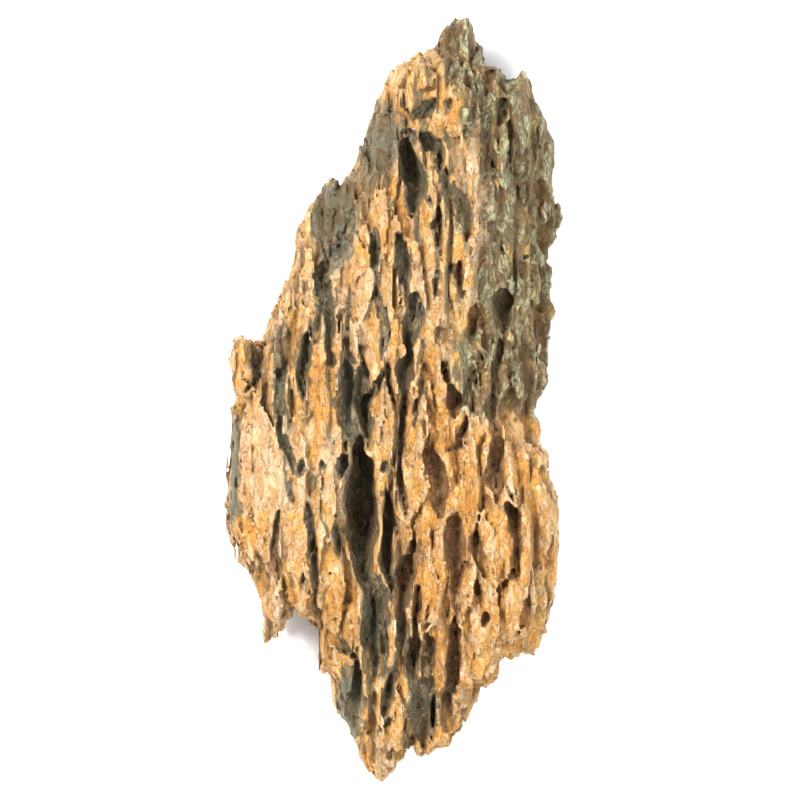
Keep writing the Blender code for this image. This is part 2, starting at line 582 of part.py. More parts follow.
def cut_flat(body, height):
    """Cuts the mesh off below a level and closes it with flat faces."""
    everything = body.verts[:] + body.edges[:] + body.faces[:]
    bmesh.ops.bisect_plane(
        body, geom=everything, dist=1e-6, plane_co=(0, 0, height), plane_no=(0, 0, -1), clear_outer=True
    )
    rim = [edge for edge in body.edges if edge.is_boundary]
    bmesh.ops.holes_fill(body, edges=rim, sides=0)
    bmesh.ops.triangulate(body, faces=[face for face in body.faces if len(face.verts) > 4])


def clay_stone():
    """The stone's material: dry ochre clay."""
    material = bpy.data.materials.new("ochre_clay_stone")
    material.use_nodes = True
    shader = material.node_tree.nodes["Principled BSDF"]
    shader.inputs["Base Color"].default_value = (0.56, 0.33, 0.13, 1.0)
    shader.inputs["Roughness"].default_value = 0.85
    shader.inputs["Metallic"].default_value = 0.0
    return material


def build_field():
    """The stone with its pits, bosses and plates."""
    stone = Stone(GRID_STEP)
    for boss in BOSSES:
        stone.raise_boss(boss)
    stone.wear()
    for pit in FACE_PITS:
        stone.carve_face(pit)
    for pit in side_pits():
        stone.carve_side(*pit)
    return stone


def thinned(mesh, most):
    """The mesh as a Decimate modifier leaves it, with about that many triangles."""
    helper = bpy.data.objects.new("fine_skin", mesh)
    bpy.context.scene.collection.objects.link(helper)
    decimate = helper.modifiers.new("Thin", "DECIMATE")
    mesh.calc_loop_triangles()
    decimate.ratio = most / len(mesh.loop_triangles)
    bpy.context.view_layer.update()
    thin = bpy.data.meshes.new_from_object(helper.evaluated_get(bpy.context.evaluated_depsgraph_get()))
    bpy.data.objects.remove(helper)
    return thin


def main():
    for leftover in list(bpy.data.objects):
        bpy.data.objects.remove(leftover)
    stone = build_field()
    points, faces = skin(stone, fill_pinches(stone.field))
    fine = bpy.data.meshes.new("fine_skin")
    fine.from_pydata((points * MM).tolist(), [], faces.tolist())
    body = bmesh.new()
    body.from_mesh(fine)
    keep_largest(body)
    bmesh.ops.triangulate(body, faces=body.faces[:])
    body.to_mesh(fine)
    body.free()
    mesh = thinned(fine, MOST_TRIANGLES)
    body = bmesh.new()
    body.from_mesh(mesh)
    cut_flat(body, 0.0)
    keep_largest(body)
    body.to_mesh(mesh)
    body.free()
    mesh.name = "rock"
    mesh.materials.clear()
    mesh.materials.append(clay_stone())
    rock = bpy.data.objects.new("rock", mesh)
    bpy.context.scene.collection.objects.link(rock)


main()
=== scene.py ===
"""Dresses the dragon stone: a fine skin, the clay's colours and relief, the floor, the light and the camera.

The stone's design is written in millimetres, and MM turns it into Blender's metres. X runs across the stone,
Y along it towards its peak, and Z up from the surface that it rests on.

The stone is a field: a number at each point of space that is positive inside the rock and is roughly the
depth in millimetres. Each form adds to the field or carves it, and the skin is drawn where it is zero.
"""

import logging
import math
from collections.abc import Iterator, Sequence
from dataclasses import dataclass
from enum import Enum

import bmesh
import bpy
import numpy as np
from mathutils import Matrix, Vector


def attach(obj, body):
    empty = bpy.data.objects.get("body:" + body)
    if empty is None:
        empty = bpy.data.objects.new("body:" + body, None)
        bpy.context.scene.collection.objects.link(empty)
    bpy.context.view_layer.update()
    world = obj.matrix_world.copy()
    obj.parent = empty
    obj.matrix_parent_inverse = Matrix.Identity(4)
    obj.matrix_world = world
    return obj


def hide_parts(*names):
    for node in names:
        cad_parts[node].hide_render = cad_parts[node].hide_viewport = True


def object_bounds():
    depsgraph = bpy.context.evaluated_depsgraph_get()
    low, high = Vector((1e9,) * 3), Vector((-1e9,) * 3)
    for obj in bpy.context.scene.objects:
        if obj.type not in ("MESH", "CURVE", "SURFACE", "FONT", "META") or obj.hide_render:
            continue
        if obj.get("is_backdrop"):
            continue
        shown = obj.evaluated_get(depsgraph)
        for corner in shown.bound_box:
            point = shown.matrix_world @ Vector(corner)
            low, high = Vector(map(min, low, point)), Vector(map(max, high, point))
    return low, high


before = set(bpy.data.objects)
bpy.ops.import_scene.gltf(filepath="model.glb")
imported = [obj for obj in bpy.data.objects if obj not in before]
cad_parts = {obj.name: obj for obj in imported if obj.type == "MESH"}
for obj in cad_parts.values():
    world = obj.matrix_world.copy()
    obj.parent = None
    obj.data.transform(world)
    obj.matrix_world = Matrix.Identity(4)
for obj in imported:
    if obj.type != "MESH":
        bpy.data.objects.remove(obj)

log = logging.getLogger("dragon_stone")

MM = 0.001
ALBEDO = 0.925  # share of the light that the palest clay returns

# The plan, clockwise from the peak
OUTLINE: list[tuple[float, float]] = [
    (27, 153.5), (30.5, 153), (33.5, 148), (36.5, 142), (37.5, 136), (44, 133), (46, 130.5),
    (51, 130), (53, 132.5), (55.5, 129.5), (57, 125), (58.5, 119.5), (61, 116), (63.5, 109.5),
    (65.5, 101.5), (65, 89), (65.5, 83), (68, 80), (69, 74), (67.5, 67), (65, 62), (63.5, 52),
    (63, 40), (65, 36), (63.5, 31), (63, 20), (62.5, 6), (59, -1), (58.5, -5.5), (60.5, -12),
    (59.5, -17), (63, -22.5), (63, -32), (66, -37), (67, -46), (66.5, -58), (66, -70), (64, -82),
    (61, -92), (59, -99), (56.5, -102), (52.5, -99.5), (51, -103), (45, -105), (43.5, -110),
    (39, -115.5), (36.5, -116), (34.5, -122), (30.5, -129), (27, -136), (23, -139.5), (18.5, -140),
    (16, -143), (4, -143), (0.5, -149.5), (-4, -153.5), (-7.5, -149), (-11, -144), (-13, -138.5),
    (-15, -133), (-19, -128), (-22, -121), (-23.5, -113), (-28, -109), (-28.5, -102), (-28, -93),
    (-29.5, -89.5), (-37, -90), (-41.5, -88.5), (-46, -95), (-51, -92.5), (-51, -85),
    (-53.5, -78.5), (-57, -69), (-61, -64), (-61.5, -59), (-65, -52), (-66, -42), (-65, -31),
    (-63.5, -22), (-63, -10), (-64, -3), (-61.5, 2), (-64, 9), (-61.5, 17.5), (-56, 24),
    (-51, 22.5), (-49, 30), (-44.5, 40), (-40.5, 50), (-38.5, 55), (-37, 69), (-32, 77.5),
    (-27, 85), (-23, 89), (-21, 88.5), (-20.5, 85.5), (-14.5, 92), (-11.5, 99), (-10.5, 106.5),
    (-7, 113.5), (-4, 121), (-1.5, 127), (2.5, 133), (9.5, 137), (14, 140.5), (17, 141.5),
    (19, 141), (21, 147), (25, 151),
]


@dataclass(frozen=True)
class Mound:
    """A soft round shape on the plan. across and along are its radii."""

    x: float
    y: float
    across: float
    along: float

    def share(self, x: np.ndarray, y: np.ndarray) -> np.ndarray:
        """Returns 1 at the middle of the mound, falling to 0 round it, at places of the plan."""
        return np.exp(-(((x - self.x) / self.across) ** 2) - ((y - self.y) / self.along) ** 2)


@dataclass(frozen=True)
class Swell(Mound):
    """A broad rise of the face, or a fall where height is negative."""

    height: float


@dataclass(frozen=True)
class Pit:
    """A lens-shaped hollow. lean is how many degrees its upper end turns towards +X."""

    x: float
    y: float
    length: float
    width: float
    depth: float
    lean: float = 0.0


@dataclass(frozen=True)
class Boss:
    """A lens-shaped lump whose crown stands rise above the face, or below it where rise is negative."""

    x: float
    y: float
    length: float
    width: float
    rise: float
    lean: float = 0.0


SWELLS: list[Swell] = [
    Swell(34, -62, 34, 46, 8),  # the right face, which stands proud below the step
    Swell(-44, -40, 22, 50, 2),  # the left plates
    Swell(66, 60, 26, 66, -17),  # the upper right, which turns away
    Swell(20, 60, 18, 60, 4),
    Swell(-24, 62, 13, 32, -10),  # the left shoulder, which lies back
    Swell(-12, -45, 12, 52, -5),  # the valley of the main crack
    Swell(10, 118, 14, 18, 5),  # the crown
    Swell(0, 96, 12, 12, -6),
    Swell(8, -128, 34, 22, -9),  # the tail
    Swell(-60, -10, 12, 60, -8),
    Swell(32, 144, 12, 14, -5),
]

CROWN_PITS: list[Pit] = [
    Pit(47, 127, 10, 6.5, 9), Pit(46, 116, 9, 3.5, 7), Pit(13, 114, 12, 5, 8, 50),
    Pit(23.5, 139, 11, 2, 4, 108), Pit(57.5, 106.5, 4, 3.2, 4), Pit(27, 131.5, 6, 1.6, 3, 90),
    Pit(31, 128, 11, 2, 4, 5), Pit(23, 115, 8, 5, 2.5, 20), Pit(-1.5, 115, 6, 2, 4),
    Pit(37, 107.5, 5, 2, 3), Pit(47.5, 107, 10, 1.6, 3), Pit(-0.5, 103, 26, 7, 4.5, 3),
    Pit(-9.5, 100, 34, 6.5, 4, -14), Pit(8.5, 87, 32, 9, 19, -2), Pit(17, 101.5, 14, 6, 11, -40),
    Pit(9, 104, 8, 5, 8, -30), Pit(-3, 94, 7, 3.5, 3), Pit(-10.5, 85.5, 6, 3, 4, 35),
]

SHOULDER_PITS: list[Pit] = [
    Pit(-22, 72, 36, 11, 4.5, 12), Pit(-25, 32, 32, 6, 7, 5), Pit(-10, 73, 13, 4, 3),
    Pit(-7, 58.5, 19, 5.4, 7), Pit(5.5, 52, 29, 4.6, 6, -12), Pit(-31, 69, 11, 3.2, 5, 8),
    Pit(-27, 62, 5, 3.4, 4), Pit(-20, 65.5, 15, 2.6, 6, 28), Pit(-22, 58.5, 5.5, 5, 7),
    Pit(-27.5, 48, 18, 3.8, 8, 8), Pit(-4.5, 48, 8, 2.6, 5), Pit(-16, 65.5, 26, 2.2, 6, 3),
    Pit(1, 76, 8, 1.4, 2), Pit(-23, 37, 9, 2.8, 4), Pit(-24.5, 22, 14, 1.5, 4), Pit(-24, 15, 6, 3.4, 6),
    Pit(-16.5, 34, 22, 1.5, 4, 2), Pit(-17, 22, 6, 2.8, 4), Pit(-15, 16, 8, 2.4, 5, -25),
    Pit(-2.5, 26.5, 21, 3.2, 5, 4), Pit(-5, 39, 14, 3, 4, -12), Pit(-1, 9, 10, 2, 3),
    Pit(-11.5, 20.5, 3, 2.4, 2),
]

LEFT_PITS: list[Pit] = [
    Pit(-53, 17, 16, 5.4, 11, 4), Pit(-54.5, 6.5, 11, 2.2, 5, 38), Pit(-42.5, 15, 24, 3.2, 7, 10),
    Pit(-44, -4, 30, 3.8, 7, -5), Pit(-40.5, -21, 20, 2.8, 5, -14), Pit(-34.5, 13, 31, 4.4, 9, 6),
    Pit(-35.5, -28, 6.5, 3.8, 6), Pit(-27, -27, 4, 2, 4), Pit(-31, -33, 6, 2.6, 4, 25),
    Pit(-39.5, -37, 11, 2, 4, -8), Pit(-32.5, -49, 16, 3.4, 5, -4), Pit(-30, -66.5, 32, 2.4, 5, -3),
    Pit(-46, -57, 26, 2.6, 5, 6), Pit(-49.5, -73, 16, 2.2, 4, 4), Pit(-45, -67.5, 10, 2.6, 5),
    Pit(-20.5, -54.5, 16, 2.2, 4, -6), Pit(-31, -61, 8, 2.4, 4), Pit(-59, -59.5, 10, 2.8, 5, 10),
    Pit(-61, -44, 20, 2.2, 5, -12), Pit(-61.5, -20, 22, 2.6, 5, 6), Pit(-55, -75, 7, 2.8, 4),
    Pit(-41.5, -80, 7, 1.4, 3, -35), Pit(-35, -73, 10, 1.8, 3, 5), Pit(-39, -73, 6, 1.4, 2),
    Pit(-39, -86, 7, 3.2, 9), Pit(-29, -85.5, 11, 2.8, 9), Pit(-48, -91, 7, 1.6, 4),
]

CENTRE_PITS: list[Pit] = [
    Pit(-13, -7, 42, 11.5, 7), Pit(-17.5, -2, 34, 5.8, 12, -3), Pit(-11, -2, 27, 6.4, 11, -4),
    Pit(-8, -9, 19, 5.2, 18), Pit(-5.5, 5, 16, 2.6, 8, 26), Pit(-19, -27.5, 10, 4.6, 12),
    Pit(-10.6, -49, 66, 11.4, 25, -2), Pit(-0.6, -58, 43, 5.4, 15), Pit(-1.5, -27, 5, 3.8, 5),
    Pit(-7, -96, 37, 5, 12, -2), Pit(-6, -89, 40, 11, 8), Pit(9.5, 30, 25, 7.8, 10, 10),
    Pit(6.5, 11, 30, 6.2, 10, 6), Pit(4.5, -11, 33, 3.8, 9, 8), Pit(5, -34, 29, 2.8, 7, -4),
]

UPPER_RIGHT_PITS: list[Pit] = [
    Pit(22.5, 84, 16, 2.8, 7), Pit(28, 74, 24, 6.4, 7, -8), Pit(18.5, 67, 23, 3.4, 7, -2),
    Pit(16, 78, 8, 1.6, 4, -35), Pit(19, 95, 13, 3, 8), Pit(24, 51.5, 4.4, 2.4, 6),
    Pit(28, 47, 17, 2.8, 5, -3), Pit(18.5, 48, 20, 1.5, 4, 3), Pit(41, 93, 9, 1.8, 4, -20),
    Pit(54.5, 89, 12, 2, 4, 5), Pit(62, 85, 7, 4.2, 9, -15), Pit(52.5, 75, 20, 2, 5, -4),
    Pit(56.5, 72, 17, 1.8, 4, 3), Pit(49, 65, 10, 3.8, 5, -15), Pit(49, 75, 5, 3.2, 4, 30),
    Pit(58.5, 59.5, 16, 2, 5, 66), Pit(52, 52, 8, 2.4, 4), Pit(42, 63, 10, 2.8, 4),
    Pit(45.5, 47, 4.5, 2.4, 4, -40), Pit(32.5, 29, 16, 5.6, 8, 6), Pit(44, 35.5, 18, 8.8, 14),
    Pit(43.5, 17, 14, 4, 8), Pit(33.5, 8, 9, 2.6, 5, -10), Pit(23, 9, 17, 3, 7, -10),
    Pit(25, -1, 15, 6.2, 10), Pit(30.5, 3, 10, 2.2, 4, 12), Pit(41, -7, 21, 5.2, 8, -4),
    Pit(53, 17.5, 9, 2.6, 4, 25), Pit(55, 29, 10, 2.6, 3), Pit(57, -3.5, 5, 3, 5),
    Pit(20.5, 25.5, 7.5, 6, 4, -30), Pit(12.5, 6, 14, 1.4, 3, 2), Pit(10.5, -5.5, 13, 2.4, 3, 8),
    Pit(29, -13, 13, 2.2, 7, 12), Pit(26, -19, 7, 2, 6, 65),
]

RIGHT_PITS: list[Pit] = [
    Pit(18.5, -33, 30, 8.8, 10, -8), Pit(42, -27, 29, 5.4, 10), Pit(25, -59, 27, 10, 9, -4),
    Pit(27, -71, 16, 2.8, 6, 18), Pit(27, -33, 10, 2.2, 4, -5), Pit(29.5, -43, 15, 6, 3),
    Pit(33, -34, 3.4, 2.8, 2), Pit(37.5, -41.5, 4.5, 2, 4), Pit(47.5, -48.5, 16, 5.8, 12, -6),
    Pit(49, -39, 10, 1.6, 5, -28), Pit(50, -62, 18, 6, 5), Pit(49, -69.5, 5, 3.8, 7),
    Pit(34, -59, 15, 4, 8, -6), Pit(8, -60.5, 10, 2.6, 8), Pit(10.5, -62.5, 15, 3.6, 3, 8),
    Pit(61.5, -41, 12, 2, 5, 20), Pit(58.5, -23.5, 3, 2, 4), Pit(57, -53, 23, 2.2, 4, -6),
    Pit(54.5, -18.5, 5, 1.4, 3, 75), Pit(31, -65.5, 3, 2.2, 4), Pit(34.5, -76, 10, 2.8, 6),
    Pit(43, -75, 9, 1.8, 4, 45), Pit(38, -87, 6.5, 3, 6, 20), Pit(52.5, -85, 13, 3.4, 9, 12),
    Pit(57, -75.5, 6, 1.6, 3), Pit(54, -97, 3.4, 2.2, 4), Pit(39.5, -107.5, 5, 2.2, 4),
    Pit(15, -90.5, 5, 2, 2, 20),
]

TAIL_PITS: list[Pit] = [
    Pit(5, -75, 26, 6.6, 16, 8), Pit(10.5, -82.5, 16, 3.2, 9, 6), Pit(5, -93.5, 16, 5.2, 10, 4),
    Pit(-20, -98, 21, 3.6, 10, -50), Pit(-15, -119, 31, 7, 10, 3), Pit(-1.5, -102, 25, 3, 7),
    Pit(0.5, -117, 22, 3.8, 10, 12), Pit(9.5, -105, 32, 5.2, 13, 2), Pit(14.5, -102, 17, 4.6, 10),
    Pit(13.5, -125, 29, 9.6, 10), Pit(17.5, -129, 19, 2.6, 14, 4), Pit(25, -106, 42, 6.2, 11, 3),
    Pit(24.5, -126, 18, 4.8, 9, 2), Pit(27, -81, 8, 2.8, 5), Pit(9, -132.5, 6, 3, 4),
    Pit(16, -137, 5, 4.6, 6), Pit(-3.5, -132, 13, 1.4, 3, 42), Pit(-9, -121.5, 6, 3.2, 4),
    Pit(-8, -143, 11, 2, 4, -12), Pit(-21.5, -106, 14, 1.8, 4, 8), Pit(-12.5, -131, 9, 2.2, 5),
]

FACE_PITS: list[Pit] = (
    CROWN_PITS + SHOULDER_PITS + LEFT_PITS + CENTRE_PITS + UPPER_RIGHT_PITS + RIGHT_PITS + TAIL_PITS
)

BOSSES: list[Boss] = [
    Boss(28, 140, 22, 12, -7.0, 10),  # the peak's cap
    Boss(9, 121, 24, 13, 3.0, 25),  # the block that overhangs the upper hole
    Boss(-3.5, 82, 22, 12, 2.0, 10),
    Boss(24.5, 44, 20, 7, 2.5, -3),
    Boss(-59, 13, 22, 8, 2.0, -6),  # the knob on the left edge
    Boss(-51, -24, 42, 17, 2.0, -4),  # the broad smooth plate
    Boss(-17, -86, 28, 15, 2.0, -12),
    Boss(14.5, -89, 8, 7, 2.0),
    Boss(5.5, -60, 12, 5, 1.0, 8),
    Boss(14.5, -112, 8, 4, -4.0, -20),  # two flakes left standing in the tail's hollow
    Boss(13, -126.5, 15, 5, -3.0),
    Boss(-48, -88, 14, 5, 1.5, 10),
]

# The stone rests on pads, worn flat. Each is its middle and its radius.
PADS: list[tuple[float, float, float]] = [
    (0.0, 0.0, 17.0), (20.0, 84.0, 12.0), (26.0, -76.0, 13.0), (-40.0, -34.0, 12.0),
]

# The upper right part of the face, painted grey-green as the clay looks in shade: painted shade
SHADED_ZONE: list[tuple[float, float]] = [
    (17, 160), (18, 134), (23, 127), (28, 120), (28, 106), (35, 102), (36, 88), (39, 84), (38, 64),
    (35, 58), (36, 32), (27, 24), (24, 12), (28, -4), (44, -6), (60, -8), (80, -6), (80, 160),
]


@dataclass(frozen=True)
class Stain(Mound):
    """A soft patch of the face with its own amount of a colour."""

    amount: float


# Where the clay is rusty orange, over the paler tan of the rest
RUST: list[Stain] = [
    Stain(0, 0, 300, 600, 0.39),
    Stain(42, -62, 34, 46, 0.42), Stain(16, -30, 12, 40, 0.3), Stain(6, -105, 30, 44, 0.45),
    Stain(-30, -80, 22, 22, 0.3), Stain(10, 122, 12, 10, 0.4), Stain(20, 108, 7, 12, 0.6),
    Stain(4, 64, 7, 34, 0.5), Stain(-6, 76, 12, 10, 0.5), Stain(-29, 0, 9, 16, 0.5), Stain(15, 2, 6, 14, 0.5),
    Stain(-56, 12, 6, 12, 0.4), Stain(-50, -27, 12, 20, -0.7), Stain(22, 74, 7, 24, -0.5),
    Stain(20, 36, 7, 14, -0.6), Stain(-16, 34, 8, 14, -0.45), Stain(-48, -66, 10, 14, -0.3),
    Stain(-24, -40, 6, 14, -0.4), Stain(11, 60, 5, 20, -0.4), Stain(2, 100, 7, 8, -0.4),
    Stain(-51, -56, 5, 14, 0.6), Stain(-40, -48, 4, 9, 0.6), Stain(-32, -72, 5, 10, 0.6),
    Stain(-36, -58, 3, 6, -0.6), Stain(-60, -54, 4, 8, 0.9), Stain(-56, -88, 8, 10, 0.4),
    Stain(-38, 18, 3, 16, 0.7), Stain(-26, 2, 5, 14, 0.6), Stain(-54, 10, 4, 12, 0.4),
    Stain(-50, -3, 6, 9, -0.6), Stain(-22, -18, 5, 8, -0.5), Stain(-60, 14, 5, 10, 0.5),
    Stain(-26, 60, 14, 30, -0.25),
]

# Where the hollows are slate grey, and where walls that face right, away from the key light, are painted
# slate grey as shade
SLATE: list[Stain] = [
    Stain(-30, 40, 44, 60, 1.0), Stain(-14, -50, 26, 80, 1.0), Stain(0, 110, 50, 50, 0.8),
    Stain(46, 60, 26, 60, 0.25), Stain(8, -120, 40, 34, 0.7), Stain(14, 60, 16, 60, 0.4),
    Stain(42, -50, 22, 40, -0.7), Stain(-42, -20, 12, 60, 0.5),
]

# Where a grey-green film lies over the clay
FILM: list[Stain] = [
    Stain(-9, 104, 5, 20, 1.0), Stain(-21, 76, 8, 15, 0.9), Stain(-28, 38, 2.5, 18, 0.8),
    Stain(-1, 100, 5, 12, 0.7), Stain(-14, -8, 5, 16, 0.8), Stain(-5, -86, 6, 18, 0.7),
    Stain(-15, -119, 5, 15, 1.0), Stain(28, 26, 5, 10, 0.5), Stain(13, -124, 6, 13, 0.8),
    Stain(-36, 14, 3, 14, 0.5), Stain(-43, -2, 3, 16, 0.6), Stain(29, 75, 3, 12, 0.6),
    # Stain(12, 112) darkens the crown, and Stain(-63, -28) darkens the strip of the left flank as painted
    # shade
    Stain(12, 112, 24, 30, 0.38), Stain(-63, -28, 3, 26, 1.2), Stain(-55, 16, 4, 10, 0.6),
    Stain(-23, 69, 6, 15, 1.5), Stain(-45, 24, 4, 16, 0.6), Stain(-17, -125, 4, 12, 0.9),
]

# Where the face is smoother
CALM: list[Stain] = [
    Stain(-50, -26, 13, 24, 0.85), Stain(-47, -62, 12, 18, 0.45), Stain(46, -50, 22, 44, 0.3),
    Stain(-24, -30, 8, 16, 0.3), Stain(20, 50, 8, 40, 0.3), Stain(-42, 47, 5, 8, 0.7),
]

# The corners of the space that the stone is worked out in, and how short of its last cell a place is kept
LOW = np.array([-76.0, -160.0, -8.0])
HIGH = np.array([76.0, 160.0, 74.0])
LAST_CELL = 1.001


def smooth_step(value: np.ndarray) -> np.ndarray:
    """Rises smoothly from 0, where value is 0 or less, to 1, where it is 1 or more."""
    share = np.clip(value, 0.0, 1.0)
    return share * share * (3.0 - 2.0 * share)


def smooth_least(first: np.ndarray, second: np.ndarray, softness: float) -> np.ndarray:
    """Takes the lesser of two fields, with the edge where they meet worn round by softness."""
    share = np.clip(0.5 + 0.5 * (second - first) / softness, 0.0, 1.0)
    return second + (first - second) * share - softness * share * (1.0 - share)


def inset(outline: Sequence[tuple[float, float]], x: np.ndarray, y: np.ndarray) -> np.ndarray:
    """Measures how far points of the plan lie inside an outline.

    Args:
        outline: The outline's corners.
        x: Places across the stone.
        y: Places along it.

    Returns:
        The distance to the outline, negative outside it.
    """
    least = np.full(np.broadcast(x, y).shape, np.inf)
    inside = np.zeros(least.shape, bool)
    for (ax, ay), (bx, by) in zip(outline, [*outline[1:], outline[0]]):
        ux, uy = bx - ax, by - ay
        along = np.clip(((x - ax) * ux + (y - ay) * uy) / (ux * ux + uy * uy), 0.0, 1.0)
        least = np.minimum(least, np.hypot(x - ax - along * ux, y - ay - along * uy))
        if uy:
            inside ^= ((ay > y) != (by > y)) & (x < ax + (y - ay) * ux / uy)
    return np.where(inside, least, -least)


def stained(stains: Sequence[Stain], x: np.ndarray, y: np.ndarray) -> np.ndarray:
    """Adds up soft patches, and returns their amount at each place, from 0 to 1."""
    return np.clip(sum(stain.amount * stain.share(x, y) for stain in stains), 0.0, 1.0)


@dataclass(frozen=True)
class Waves:
    """Smooth noise from -1 to 1, whose waves have this length along X, Y and Z."""

    size: tuple[float, float, float]
    seed: int

    def at(self, points: Sequence[np.ndarray]) -> np.ndarray:
        """Reads the noise.

        Args:
            points: Three arrays: X, Y and Z.

        Returns:
            The noise at each point.
        """
        size = np.asarray(self.size)
        count = np.ceil((HIGH - LOW) / size).astype(int) + 3
        heights = np.random.default_rng(self.seed).uniform(-1.0, 1.0, count)
        cells, parts = [], []
        for value, low, length, most in zip(points, LOW, size, count):
            place = np.clip((value - low) / length + 0.5, 0.0, most - LAST_CELL)
            cell = place.astype(int)
            cells.append(cell)
            parts.append(smooth_step(place - cell))
        total = np.zeros(points[0].shape)
        for corner in np.ndindex(2, 2, 2):
            weight = np.ones(points[0].shape)
            for part, side in zip(parts, corner):
                weight = weight * (part if side else 1.0 - part)
            total += weight * heights[tuple(cell + side for cell, side in zip(cells, corner))]
        return total


@dataclass(frozen=True)
class Relief:
    """What the plates do at some points: the height that they add, and the number that tints each plate."""

    height: np.ndarray
    tone: np.ndarray


@dataclass(frozen=True)
class Plates:
    """Overlapping slivers that the stone splits into, of this size along X, Y and Z.

    step is the difference in height between one and the next. across and along are how far each rises to the
    right and to the top, where it breaks off: the usual, and how much it varies. crown is how far its edges
    fall, and bend is how far the waves push it about. gap is the width and the depth of the groove along the
    left edge of most of them, at the foot of the one before.
    """

    size: tuple[float, float, float]
    seed: int
    step: float
    across: tuple[float, float]
    along: tuple[float, float]
    crown: float
    bend: float
    gap: tuple[float, float] = (0.0, 0.0)

    CHUNK = 1 << 16  # how many points are worked on at a time
    MARGIN = 2.0  # how many cells lie below the low corner
    MIDDLES = (0.15, 0.85)  # where in its cell a plate's middle may lie
    GAP_SIDE = (-4.0, -0.3)  # a gap opens as the place goes left: the slope, and the start
    GAP_CHANCE = (2.0, 1.5)  # and with the plate's own number
    GAP_EDGE = 1.6  # a gap's flank: its slope over the gap's width, and its start

    def at(self, points: Sequence[np.ndarray], bent: np.ndarray) -> Relief:
        """Finds the plate that each point belongs to.

        Args:
            points: Three arrays: X, Y and Z.
            bent: Noise from -1 to 1 at each point, which bends the plates.

        Returns:
            The plates' relief at each point.
        """
        count = np.ceil((HIGH - LOW) / np.asarray(self.size)).astype(int) + 5
        random = np.random.default_rng(self.seed)
        middles = random.uniform(*self.MIDDLES, (*count, 3))
        traits = random.uniform(-1.0, 1.0, (*count, 4))
        height, tone = np.empty(len(bent)), np.empty(len(bent))
        for start in range(0, len(bent), self.CHUNK):
            part = slice(start, start + self.CHUNK)
            places = [
                (value[part] + self.bend * bent[part] - low) / length + self.MARGIN
                for value, low, length in zip(points, LOW, self.size)
            ]
            height[part], tone[part] = self._nearest(places, count, middles, traits)
        return Relief(height, tone)

    def _nearest(
        self, places: list[np.ndarray], count: np.ndarray, middles: np.ndarray, traits: np.ndarray
    ) -> tuple[np.ndarray, np.ndarray]:
        """Finds the relief from each point's nearest plate.

        Args:
            places: X, Y and Z of the points, in cells.
            count: How many cells there are along each.
            middles: Where in its cell each plate's middle lies.
            traits: Four numbers from -1 to 1 for each plate.

        Returns:
            The height that the plates add, and the plate's tone.
        """
        cells = [np.clip(place.astype(int), 1, most - 2) for place, most in zip(places, count)]
        nearest, second = np.full((2, *places[0].shape), np.inf)
        trait, apart = np.zeros((4, *places[0].shape)), np.zeros((3, *places[0].shape))
        for shift in np.ndindex(3, 3, 3):
            cell = tuple(c + s - 1 for c, s in zip(cells, shift))
            offset = np.stack(places) - np.stack(cell) - middles[cell].T
            distance = (offset**2).sum(axis=0)
            closer = distance < nearest
            second = np.where(closer, nearest, np.minimum(second, distance))
            nearest = np.where(closer, distance, nearest)
            trait = np.where(closer, traits[cell].T, trait)
            apart = np.where(closer, offset, apart)
        height = self.step * trait[0] - self.crown * nearest
        height += (self.across[0] + self.across[1] * trait[1]) * apart[0]
        height += (self.along[0] + self.along[1] * trait[2]) * apart[1]
        width, depth = self.gap
        if depth:
            edge = (np.sqrt(second) - np.sqrt(nearest)) * self.size[0] / 2
            opened = smooth_step(self.GAP_SIDE[0] * apart[0] + self.GAP_SIDE[1])
            opened *= smooth_step(self.GAP_CHANCE[0] * trait[3] + self.GAP_CHANCE[1])
            height -= depth * opened * smooth_step(self.GAP_EDGE * (1.0 - edge / width))
        return height, trait[0]


@dataclass(frozen=True)
class Slab:
    """The stone before anything wears it: a flat slab with round edges and a swelling face."""

    face: float = 50.0
    back: float = 3.0
    face_round: float = 22.0
    back_round: float = 12.0
    pad_sink: float = 1.6
    pad_flank: float = 1.5  # how steeply the underside falls to a pad

    def face_height(self, x: np.ndarray, y: np.ndarray) -> np.ndarray:
        """Returns the height of the smooth face over places of the plan."""
        return self.face + sum(swell.height * swell.share(x, y) for swell in SWELLS)

    def back_height(self, x: np.ndarray, y: np.ndarray) -> np.ndarray:
        """Gives the height of the underside, which dips through the floor at each pad.

        Args:
            x: Places across the stone.
            y: Places along it.

        Returns:
            The height over each place.
        """
        height = self.back + np.zeros(np.broadcast(x, y).shape)
        for pad_x, pad_y, radius in PADS:
            reach = np.hypot(x - pad_x, y - pad_y) / radius
            height -= (self.back + self.pad_sink) * smooth_step(2.0 - self.pad_flank * reach)
        return height

    def depth(self, x: np.ndarray, y: np.ndarray, z: np.ndarray) -> np.ndarray:
        """Measures how deep points lie in the slab.

        Args:
            x: Places across the stone.
            y: Places along it.
            z: Places above the floor.

        Returns:
            The depth of each point, negative outside the slab.
        """
        edge = inset(OUTLINE, x, y)
        top, bottom = self.face_height(x, y), self.back_height(x, y)
        upper = z > (top + bottom) / 2
        rounding = np.where(upper, self.face_round, self.back_round)
        to_side = rounding - edge
        to_face = rounding - np.where(upper, top - z, z - bottom)
        corner = np.hypot(np.maximum(to_side, 0.0), np.maximum(to_face, 0.0))
        return rounding - corner - np.minimum(np.maximum(to_side, to_face), 0.0)


@dataclass(frozen=True)
class SidePit:
    """A lens-shaped hollow of the flank or the underside, which goes in against outward."""

    point: np.ndarray
    outward: np.ndarray
    length: float
    width: float
    depth: float


